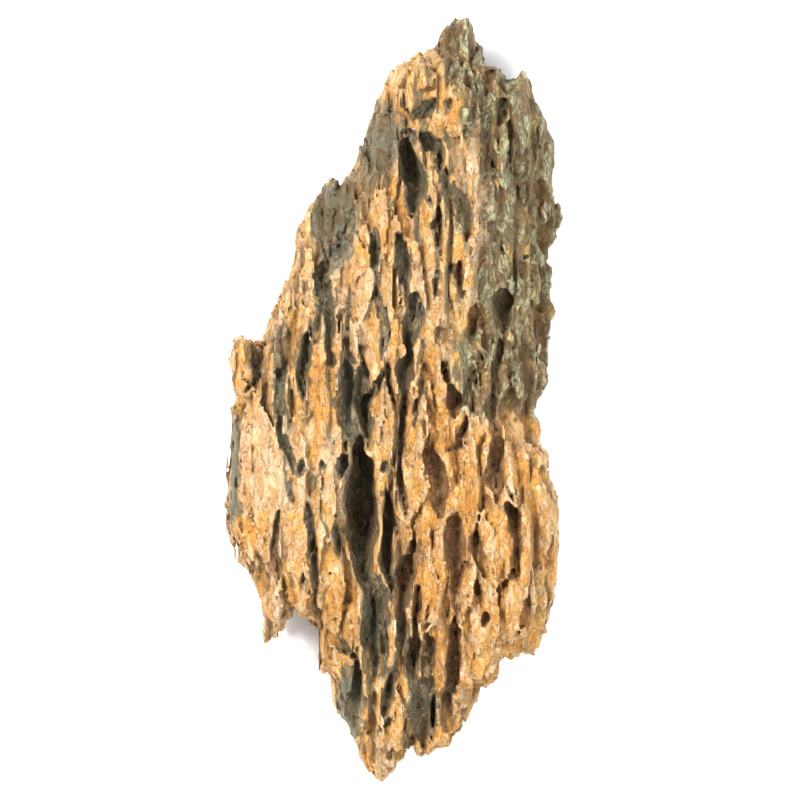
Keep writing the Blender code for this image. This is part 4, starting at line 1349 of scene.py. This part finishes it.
@dataclass(frozen=True)
class GrainEffect(Effect):
    """The clay's texture: leaves, fibres along the stone, grit, pinholes and hair cracks, with painted light
    and shade on the leaves.

    The two numbers of rise, shade and the like are shares of the place in a leaf, to the right and upwards.
    The numbers of shade paint light and shade: each leaf grades from paler at its upper left, towards the key
    light, to more orange at its lower right.
    """

    name: str = "clay_grain"
    bends: Noise = Noise((7.0, 11.0, 7.0), 2.0, 0.5)
    bend: float = 7.0  # how far the rest is pushed about
    leaf_size: tuple[float, float, float] = (5.2, 16.0, 5.2)
    pinhole_size: tuple[float, float, float] = (3.1, 5.6, 3.1)
    slant: float = 1.2  # how far the texture leans from one leaf to the next
    rise: tuple[float, float] = (0.9, 0.4)
    # painted light and shade across a leaf: larger towards its lower right, away from the key light
    shade: tuple[float, float] = (0.6, -0.5)
    tone_rise: float = 0.5  # how much higher a leaf of a stronger tone stands
    fibre: Noise = Noise((1.1, 6.5, 1.1), 5.0, 0.62)
    grit: Noise = Noise((0.55, 0.95, 0.55), 4.0, 0.8)
    swirl: Noise = Noise((3.0, 8.0, 3.0), 4.0, 0.6)
    fleck: Noise = Noise((2.6, 8.0, 2.6), 4.0, 0.6)
    spots: Noise = Noise((4.0, 6.0, 4.0), 3.0, 0.6)
    patches: Noise = Noise((7.0, 18.0, 7.0), 3.0, 0.5)
    # a dark line along each leaf's right edge, where its drop is away from the key light: a seam painted as
    # shadow
    seam_edge: Mask = Mask(0.09, 0.02)
    shadow_side: Mask = Mask(-0.1, 0.3)
    pinhole_cell: Mask = Mask(0.22, 0.1)
    pinhole_grit: Mask = Mask(0.48, 0.6)

    def values(self, wiring: Wiring) -> dict[str, bpy.types.NodeSocket]:
        """Makes the texture.

        Args:
            wiring: Adds nodes to the group's tree.

        Returns:
            Leaf, Fibre, Grit, Swirl and Pinhole for the relief, and LeafTone, LeafPaintedShade and Seam
            (painted light and shade), Fleck, Spots and Patches for the colour.
        """
        place = wiring.place()
        bend = wiring.noise(place, self.bends).outputs["Color"]
        place = wiring.vector("ADD", place, wiring.vector("SCALE", bend, self.bend))
        leaf = wiring.cells(place, self.leaf_size)
        apart = wiring.vector("SUBTRACT", wiring.vector("DIVIDE", place, self.leaf_size), leaf["Position"])
        apart = wiring.node("ShaderNodeSeparateXYZ", {0: apart}).outputs
        tone, lean, _ = wiring.node("ShaderNodeSeparateColor", {0: leaf["Color"]}).outputs
        lean = wiring.times(wiring.maths("SUBTRACT", lean, 0.5), self.slant * self.leaf_size[1])
        lean = wiring.node("ShaderNodeCombineXYZ", {0: wiring.times(lean, apart["Y"])}).outputs[0]
        slanted = wiring.vector("ADD", place, lean)
        rise, shade = (
            wiring.plus(wiring.times(apart["X"], right), apart["Y"], up)
            for right, up in (self.rise, self.shade)
        )
        seam = wiring.cells(place, self.leaf_size, "DISTANCE_TO_EDGE")["Distance"]
        grit = wiring.noise(place, self.grit).outputs[0]
        pinhole = wiring.mask(wiring.cells(place, self.pinhole_size)["Distance"], self.pinhole_cell)
        return {
            "Leaf": wiring.plus(rise, tone, self.tone_rise),
            "LeafTone": tone,
            "LeafPaintedShade": shade,
            "Seam": wiring.times(wiring.mask(seam, self.seam_edge), wiring.mask(apart["X"], self.shadow_side)),
            "Fibre": wiring.noise(slanted, self.fibre).outputs[0],
            "Grit": grit,
            "Swirl": wiring.ridges(slanted, self.swirl),
            "Fleck": wiring.noise(slanted, self.fleck).outputs[0],
            "Spots": wiring.noise(place, self.spots).outputs[0],
            "Patches": wiring.noise(place, self.patches).outputs[0],
            "Pinhole": wiring.times(pinhole, wiring.mask(grit, self.pinhole_grit)),
        }


@dataclass(frozen=True)
class FaceLook:
    """Where the colours of the open face show, and how much each of the grain's values pulls at them. Some of
    them paint light and shade: orange where the surface faces the key light, cream on the lit side of each
    leaf and partly as highlight on crests, and less cream where sheltered.
    """

    plate_pull: float = 0.12  # on the mottling
    leaf_pull: float = 0.42
    rust_pull: float = 0.55  # on the golden clay
    streak_rust: float = 0.18
    streak_tone: float = 0.08
    # these pull the streaks to orange towards each leaf's shaded lower right, and the cream to its lit upper
    # left and out of sheltered places: painted light and shade
    streak_painted_shade: float = 0.14
    pale_painted_shade: float = -0.25  # on the cream
    pale_shelter: float = -0.4
    left_fleck: float = 0.5
    worn_fleck: float = 0.6
    warm: Mask = Mask(0.62, 0.80)
    golden: Mask = Mask(0.78, 0.90, 0.75)
    streaked: Mask = Mask(0.60, 0.74, 0.9)
    # more orange where the surface faces left, towards the key light: painted light
    facing_left: Mask = Mask(0.35, 0.8, 0.6)
    cream: Mask = Mask(0.46, 0.62, 0.6)
    # cream on crests: partly wear, partly painted highlight
    worn: Mask = Mask(0.6, 0.95, 0.3)
    veins: Mask = Mask(0.6, 0.95, 0.5)
    spots: Mask = Mask(0.61, 0.69, 0.55)
    seam_share: float = 0.6
    # cream grit specks: grit, partly painted glints
    pale_grit: Mask = Mask(0.53, 0.62, 0.55)
    dark_grit: Mask = Mask(0.46, 0.37, 0.55)


@dataclass(frozen=True)
class ShadedZoneLook:
    """Where the colours of the upper right's painted shade show, and how much of it and of its cracks does.
    """

    share: float = 0.88
    crack_share: float = 0.9
    flake_tone: float = 0.3  # how far a flake follows its leaf
    ground: Mask = Mask(0.42, 0.54)
    brown: Mask = Mask(0.58, 0.48, 0.85)
    brown_patches: Mask = Mask(0.50, 0.40, 0.8)
    mint: Mask = Mask(0.65, 0.72, 0.95)
    ochre: Mask = Mask(0.56, 0.64, 0.6)
    # pale crests: painted highlight, partly wear
    crests: Mask = Mask(0.3, 0.7, 0.4)
    # dark in sheltered places: painted shade
    shade: Mask = Mask(0.34, 0.6, 0.6)
    pale_grit: Mask = Mask(0.54, 0.66, 0.5)
    cracks: Mask = Mask(0.5, 0.9)
    dark_grit: Mask = Mask(0.45, 0.35)


@dataclass(frozen=True)
class HollowLook:
    """Where the colours of the hollows and of the films show, and how much the grain pulls at them, with the
    painted shade of sheltered places, of deep pits and of walls that face right.
    """

    film_spots: float = 0.8
    slate_share: float = 0.7
    slate_spots: float = 0.6
    rim_fibre: float = 0.9
    pinhole_share: float = 0.6
    film: Mask = Mask(0.7, 0.95, 0.85)
    film_streaks: Mask = Mask(0.54, 0.42, 0.9)
    film_veins: Mask = Mask(0.5, 0.9, 0.7)
    thick_film: Mask = Mask(1.15, 1.4, 0.85)
    # brown in sheltered places: painted shade
    shelter_shade: Mask = Mask(0.40, 0.72, 0.6)
    blue: Mask = Mask(0.35, 0.5)
    olive: Mask = Mask(0.45, 0.6)
    # facing_right and cool: slate on walls that face right, away from the key light, as painted shade
    facing_right: Mask = Mask(0.3, 0.7)
    cool: Mask = Mask(0.30, 0.5, 0.85)
    lining: Mask = Mask(0.55, 0.95)
    lining_flecks: Mask = Mask(0.52, 0.64, 0.5)
    lining_veins: Mask = Mask(0.5, 0.9, 0.6)
    inside: Mask = Mask(0.95, 1.15)
    below: Mask = Mask(0.2, 1.8, 0.88)
    # deep and enclosed: dark deep in closed pits, painted shade
    deep: Mask = Mask(6.0, 14.0, 0.1)
    enclosed: Mask = Mask(0.3, 0.6)


@dataclass(frozen=True)
class ClayFinish:
    """Dry dragon stone: ochre plates, cream crests that are partly painted highlight, slate hollows, painted
    shade in sheltered places, and an upper right painted grey-green as the clay looks in shade.
    """

    name: str = "ochre_clay_stone"
    specular: float = 0.45
    face: FaceLook = FaceLook()
    shaded: ShadedZoneLook = ShadedZoneLook()
    hollow: HollowLook = HollowLook()
    shelter_grit: float = 0.3  # how much the grit breaks up the edge of what is sheltered
    bump: float = 1.2  # the relief's height in millimetres
    relief: tuple[tuple[str, float], ...] = (
        ("Fibre", 1.2), ("Grit", 0.8), ("Leaf", 1.3), ("Swirl", -0.4), ("Pinhole", -0.9),
    )
    roughness: tuple[float, float] = (0.34, 0.75)
    roughness_grit: tuple[float, float] = (0.3, 0.7)

    def material(self) -> bpy.types.Material:
        """Makes the finish.

        Returns:
            The material.
        """
        material = bpy.data.materials.new(self.name)
        material.use_nodes = True
        tree = material.node_tree
        wiring = Wiring(tree)
        shader = tree.nodes["Principled BSDF"]
        shader.inputs["Specular IOR Level"].default_value = self.specular
        grain = wiring.node("ShaderNodeGroup", node_tree=GrainEffect().group()).outputs
        tree.links.new(self._colour(wiring, grain), shader.inputs["Base Color"])
        tree.links.new(self._roughness(wiring, grain), shader.inputs["Roughness"])
        tree.links.new(self._normal(wiring, grain), shader.inputs["Normal"])
        return material

    def _colour(self, wiring: Wiring, grain: bpy.types.NodeOutputs) -> bpy.types.NodeSocket:
        """Makes the whole colour.

        Args:
            wiring: Adds nodes to the material's tree.
            grain: The outputs of the grain.

        Returns:
            The socket that holds the colour.
        """
        facing = wiring.node("ShaderNodeNewGeometry").outputs["Normal"]
        facing = wiring.node("ShaderNodeSeparateXYZ", {0: facing}).outputs["X"]
        mottled = wiring.plus(grain["Patches"], wiring.attribute("plate_tone"), self.face.plate_pull)
        uneven = wiring.maths("SUBTRACT", grain["LeafTone"], 0.5)
        mottled = wiring.plus(mottled, uneven, self.face.leaf_pull)
        colour = self._face_colour(wiring, grain, mottled, facing)
        # The upper right is laid over it: the clay painted as it looks in shade
        shaded_zone = wiring.times(wiring.attribute("shaded_zone"), self.shaded.share)
        colour = wiring.tint(shaded_zone, colour, self._shaded_zone_colour(wiring, grain))
        colour = self._filmed(wiring, grain, colour)
        slate = wiring.lay(Clay.SLATE, mottled, self.hollow.blue, Clay.BLUE_SLATE)
        slate = wiring.lay(Clay.OLIVE, grain["Fibre"], self.hollow.olive, slate)
        # Walls that face right, away from the key light, turn slate and blue-grey where the slate stain lies:
        # painted shade
        turned = wiring.times(wiring.mask(facing, self.hollow.facing_right), wiring.attribute("slate"))
        colour = wiring.tint(wiring.times(turned, wiring.mask(mottled, self.hollow.cool)), colour, slate)
        colour = self._hollowed(wiring, grain, colour, slate)
        return wiring.tint(wiring.times(grain["Pinhole"], self.hollow.pinhole_share), colour, Clay.BROWN)

    def _face_colour(
        self,
        wiring: Wiring,
        grain: bpy.types.NodeOutputs,
        mottled: bpy.types.NodeSocket,
        facing: bpy.types.NodeSocket,
    ) -> bpy.types.NodeSocket:
        """Makes the colour of the open face.

        Args:
            wiring: Adds nodes to the material's tree.
            grain: The outputs of the grain.
            mottled: Holds a value that differs from plate to plate and from leaf to leaf.
            facing: Holds how far the surface faces right.

        Returns:
            The socket that holds the colour.
        """
        rust = wiring.attribute("rust")
        rusty = wiring.plus(mottled, rust, self.face.rust_pull)
        # The streaks lean orange towards each leaf's lower right, away from the key light: painted shade
        streaked = wiring.plus(grain["Fibre"], grain["LeafTone"], self.face.streak_tone)
        streaked = wiring.plus(streaked, grain["LeafPaintedShade"], self.face.streak_painted_shade)
        streaked = wiring.plus(streaked, rust, self.face.streak_rust)
        # More orange where the surface faces left, towards the key light: painted light
        left = wiring.maths("SUBTRACT", wiring.times(grain["Fleck"], self.face.left_fleck), facing)
        # The cream leans to each leaf's upper left, towards the key light, and away from sheltered places:
        # painted light and shade
        pale = wiring.plus(grain["Fleck"], grain["LeafPaintedShade"], self.face.pale_painted_shade)
        pale = wiring.plus(pale, wiring.attribute("shelter"), self.face.pale_shelter)
        # Cream on crests: partly wear, partly painted highlight
        worn = wiring.plus(wiring.attribute("crest"), grain["Fleck"], self.face.worn_fleck)
        colour = wiring.lay(Clay.OCHRE, rusty, self.face.warm, Clay.TAN)
        colour = wiring.lay(Clay.ORANGE, rusty, self.face.golden, colour)
        colour = wiring.lay(Clay.ORANGE, streaked, self.face.streaked, colour)
        colour = wiring.lay(Clay.ORANGE, left, self.face.facing_left, colour)
        colour = wiring.lay(Clay.CREAM, pale, self.face.cream, colour)
        colour = wiring.lay(Clay.CREAM, worn, self.face.worn, colour)
        colour = wiring.lay(Clay.RUST, grain["Swirl"], self.face.veins, colour)
        colour = wiring.lay(Clay.RUST, grain["Spots"], self.face.spots, colour)
        # A brown line along each leaf's right edge: a dark seam, painted as shadow
        colour = wiring.tint(wiring.times(grain["Seam"], self.face.seam_share), colour, Clay.BROWN)
        # Cream grit specks: grit, partly painted glints
        colour = wiring.lay(Clay.CREAM, grain["Grit"], self.face.pale_grit, colour)
        return wiring.lay(Clay.RUST, grain["Grit"], self.face.dark_grit, colour)

    def _shaded_zone_colour(self, wiring: Wiring, grain: bpy.types.NodeOutputs) -> bpy.types.NodeSocket:
        """Makes the colour of the upper right, painted as the clay looks in shade: olive over brown, with
        mint flakes, pale crests as painted highlight, painted shade where sheltered, and dark cracks.

        Args:
            wiring: Adds nodes to the material's tree.
            grain: The outputs of the grain.

        Returns:
            The socket that holds the colour.
        """
        flaky = wiring.plus(grain["Spots"], grain["LeafTone"], self.shaded.flake_tone)
        colour = wiring.lay(Clay.SHADE_OLIVE, grain["Fleck"], self.shaded.ground, Clay.DARK_SHADE_OLIVE)
        colour = wiring.lay(Clay.UMBER, flaky, self.shaded.brown, colour)
        colour = wiring.lay(Clay.UMBER, grain["Patches"], self.shaded.brown_patches, colour)
        colour = wiring.lay(Clay.PALE_SHADE_OLIVE, flaky, self.shaded.mint, colour)
        colour = wiring.lay(Clay.OCHRE, grain["Patches"], self.shaded.ochre, colour)
        # Pale on crests: painted highlight, partly wear
        colour = wiring.lay(Clay.PALE_SHADE_OLIVE, wiring.attribute("crest"), self.shaded.crests, colour)
        colour = wiring.lay(Clay.PALE_SHADE_OLIVE, grain["Grit"], self.shaded.pale_grit, colour)
        # Dark where the surface is sheltered: painted shade
        sheltered = wiring.plus(wiring.attribute("shelter"), grain["Grit"], self.shelter_grit)
        colour = wiring.lay(Clay.DARK, sheltered, self.shaded.shade, colour)
        # The cracks take in the seams painted as shadow
        cracks = wiring.maths("MAXIMUM", wiring.mask(grain["Swirl"], self.shaded.cracks), grain["Seam"])
        cracks = wiring.maths("MAXIMUM", cracks, wiring.mask(grain["Grit"], self.shaded.dark_grit))
        return wiring.tint(wiring.times(cracks, self.shaded.crack_share), colour, Clay.DARK_SHADE_OLIVE)

    def _filmed(
        self, wiring: Wiring, grain: bpy.types.NodeOutputs, colour: bpy.types.NodeSocket
    ) -> bpy.types.NodeSocket:
        """Lays the grey-green film over the colour, and brown painted shade where the surface is sheltered.

        Args:
            wiring: Adds nodes to the material's tree.
            grain: The outputs of the grain.
            colour: Holds the colour below.

        Returns:
            The socket that holds the colour.
        """
        patchy = wiring.plus(wiring.attribute("film"), grain["Spots"], self.hollow.film_spots)
        sheltered = wiring.plus(wiring.attribute("shelter"), grain["Grit"], self.shelter_grit)
        film = wiring.lay(Clay.SLATE, grain["Fibre"], self.hollow.film_streaks, Clay.FILM)
        film = wiring.lay(Clay.DARK, grain["Swirl"], self.hollow.film_veins, film)
        colour = wiring.lay(film, patchy, self.hollow.film, colour)
        colour = wiring.lay(Clay.SLATE, patchy, self.hollow.thick_film, colour)
        # Brown where the surface is sheltered: painted shade
        return wiring.lay(Clay.BROWN, sheltered, self.hollow.shelter_shade, colour)

    def _hollowed(
        self,
        wiring: Wiring,
        grain: bpy.types.NodeOutputs,
        colour: bpy.types.NodeSocket,
        slate: bpy.types.NodeSocket,
    ) -> bpy.types.NodeSocket:
        """Lays the lining of the pits over the colour, and dark painted shade deep in enclosed pits.

        Args:
            wiring: Adds nodes to the material's tree.
            grain: The outputs of the grain.
            colour: Holds the colour below.
            slate: Holds the colour of slate.

        Returns:
            The socket that holds the colour.
        """
        depth = wiring.attribute("pit_depth")
        slaty = wiring.times(wiring.attribute("slate"), self.hollow.slate_share)
        slaty = wiring.plus(slaty, grain["Spots"], self.hollow.slate_spots)
        lining = wiring.lay(slate, slaty, self.hollow.lining, Clay.UMBER)
        # Pits within the upper right's painted shade are lined olive
        lining = wiring.tint(wiring.attribute("shaded_zone"), lining, Clay.OLIVE)
        lining = wiring.lay(Clay.TAN, grain["Fleck"], self.hollow.lining_flecks, lining)
        lining = wiring.lay(Clay.DARK, grain["Swirl"], self.hollow.lining_veins, lining)
        inside = wiring.plus(wiring.attribute("hollow"), grain["Fibre"], self.hollow.rim_fibre)
        inside = wiring.mask(inside, self.hollow.inside)
        colour = wiring.tint(wiring.times(inside, wiring.mask(depth, self.hollow.below)), colour, lining)
        # Dark deep in enclosed pits: painted shade
        enclosed = wiring.mask(wiring.attribute("shelter"), self.hollow.enclosed)
        return wiring.tint(wiring.times(wiring.mask(depth, self.hollow.deep), enclosed), colour, Clay.DARK)

    def _roughness(self, wiring: Wiring, grain: bpy.types.NodeOutputs) -> bpy.types.NodeSocket:
        """Makes the roughness, which varies with the grit.

        Args:
            wiring: Adds nodes to the material's tree.
            grain: The outputs of the grain.

        Returns:
            The socket that holds the roughness.
        """
        low, high = self.roughness_grit
        least, most = self.roughness
        inputs = {"Value": grain["Grit"], "From Min": low, "From Max": high, "To Min": least, "To Max": most}
        return wiring.node("ShaderNodeMapRange", inputs).outputs[0]

    def _normal(self, wiring: Wiring, grain: bpy.types.NodeOutputs) -> bpy.types.NodeSocket:
        """Makes the fine relief.

        Args:
            wiring: Adds nodes to the material's tree.
            grain: The outputs of the grain.

        Returns:
            The socket that holds the bumped normal.
        """
        height = 0.0
        for name, share in self.relief:
            height = wiring.plus(height, grain[name], share)
        inputs = {"Height": height, "Strength": 1.0, "Distance": self.bump * MM}
        return wiring.node("ShaderNodeBump", inputs).outputs[0]


@dataclass(frozen=True)
class PaleFinish:
    """The floor's even white paint."""

    name: str = "pale_floor"
    paint: tuple[float, float, float, float] = (0.97, 0.97, 0.97, 1.0)
    shade: tuple[float, float, float, float] = (0.9555, 0.9555, 0.9506, 1.0)
    cloud: Noise = Noise((60.0, 60.0, 60.0))
    specular: float = 0.2
    roughness: float = 0.9

    def material(self) -> bpy.types.Material:
        """Makes the finish.

        Returns:
            The material.
        """
        material = bpy.data.materials.new(self.name)
        material.use_nodes = True
        wiring = Wiring(material.node_tree)
        faint = wiring.noise(wiring.place(), self.cloud).outputs[0]
        shader = material.node_tree.nodes["Principled BSDF"]
        shader.inputs["Specular IOR Level"].default_value = self.specular
        shader.inputs["Roughness"].default_value = self.roughness
        material.node_tree.links.new(wiring.tint(faint, self.paint, self.shade), shader.inputs["Base Color"])
        return material


@dataclass(frozen=True)
class Stone:
    """The stone itself."""

    name: str = "dragon_stone"
    body: str = "root"
    node: str = "rock"
    finish: ClayFinish = ClayFinish()
    quick_shape: StoneShape = StoneShape(step=1.0, triangles=190_000)
    sharp_edge: float = math.radians(50.0)

    def build(self) -> bpy.types.Object:
        """Makes the stone and puts it in the place of its solid.

        Returns:
            The stone's object.
        """
        shape = StoneShape()
        mesh = shape.build()
        mesh.name = self.name
        mesh.materials.append(self.finish.material())
        mesh.shade_smooth()
        mesh.set_sharp_from_angle(angle=self.sharp_edge)
        stone = bpy.data.objects.new(self.name, mesh)
        bpy.context.scene.collection.objects.link(stone)
        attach(stone, self.body)
        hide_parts(self.node)
        return stone


@dataclass(frozen=True)
class Lamp:
    """A square studio light. Its place is in metres, and it faces the stone."""

    name: str
    place: tuple[float, float, float]
    size: float
    watts: float
    colour: tuple[float, float, float] = (1.0, 1.0, 1.0)

    def build(self) -> bpy.types.Object:
        """Hangs the light.

        Returns:
            The light's object.
        """
        light = bpy.data.lights.new(self.name, "AREA")
        light.size = self.size
        light.energy = self.watts
        light.color = self.colour
        lamp = bpy.data.objects.new(self.name, light)
        lamp.location = self.place
        lamp.rotation_euler = (-Vector(self.place)).to_track_quat("-Z", "Y").to_euler()
        bpy.context.scene.collection.objects.link(lamp)
        return lamp


@dataclass(frozen=True)
class Studio:
    """The floor, the soft light and the camera over the stone."""

    floor_size: float = 4.0
    floor_drop: float = 0.0002  # keeps the stone's flat foot clear of the floor
    sky: float = 0.84
    sky_colour: tuple[float, float, float, float] = (0.97, 0.98, 1.0, 1.0)
    film_width: float = 36.0
    camera_height: float = 1.5
    sharp_height: float = 0.038  # the level at which the picture is frame_width wide
    frame_width: float = 0.320
    frame_middle: tuple[float, float] = (0.004, 0.0)
    lamps: tuple[Lamp, ...] = (
        Lamp("key", (-0.9, 0.6, 1.3), 0.45, 37.0, (1.0, 0.98, 0.94)),
        Lamp("fill", (0.9, -0.6, 1.3), 1.0, 24.0, (0.97, 0.98, 1.0)),
    )

    def build(self) -> None:
        """Lays the floor, hangs the lights and sets the camera."""
        self._floor()
        self._sky()
        for lamp in self.lamps:
            lamp.build()
        self._camera()

    def _floor(self) -> None:
        """Lays the floor."""
        half = self.floor_size / 2
        corners_of_floor = [(-half, -half, 0), (half, -half, 0), (half, half, 0), (-half, half, 0)]
        mesh = bpy.data.meshes.new("floor")
        mesh.from_pydata(corners_of_floor, [], [(0, 1, 2, 3)])
        mesh.materials.append(PaleFinish().material())
        floor = bpy.data.objects.new("floor", mesh)
        floor.location.z = -self.floor_drop
        bpy.context.scene.collection.objects.link(floor)
        floor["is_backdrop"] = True

    def _sky(self) -> None:
        """Fills the room with even light."""
        world = bpy.data.worlds.new("soft_room")
        world.use_nodes = True
        background = world.node_tree.nodes["Background"]
        background.inputs["Color"].default_value = self.sky_colour
        background.inputs["Strength"].default_value = self.sky
        bpy.context.scene.world = world

    def _camera(self) -> None:
        """Sets the camera over the stone, looking straight down."""
        lens = bpy.data.cameras.new("camera")
        lens.sensor_width = self.film_width
        lens.lens = self.film_width * (self.camera_height - self.sharp_height) / self.frame_width
        camera = bpy.data.objects.new("camera", lens)
        camera.location = (*self.frame_middle, self.camera_height)
        bpy.context.scene.collection.objects.link(camera)
        bpy.context.scene.camera = camera


def corners(bounds: Sequence[Sequence[float]]) -> list[list[float]]:
    """Turns the lowest and highest corners of a box into plain lists of numbers."""
    return [[float(value) for value in corner] for corner in bounds]


def main() -> None:
    """Builds the scene in order."""
    logging.basicConfig(level=logging.INFO, format="%(name)s: %(message)s")
    solid_box = corners(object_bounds())
    bpy.context.scene.view_settings.view_transform = "Standard"
    stone = Stone().build()
    log.info("stone: %d triangles", len(stone.data.polygons))
    Studio().build()
    dressed_box = corners(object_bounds())
    log.info("solid %s, dressed %s", solid_box, dressed_box)


if __name__ == "__main__":
    main()
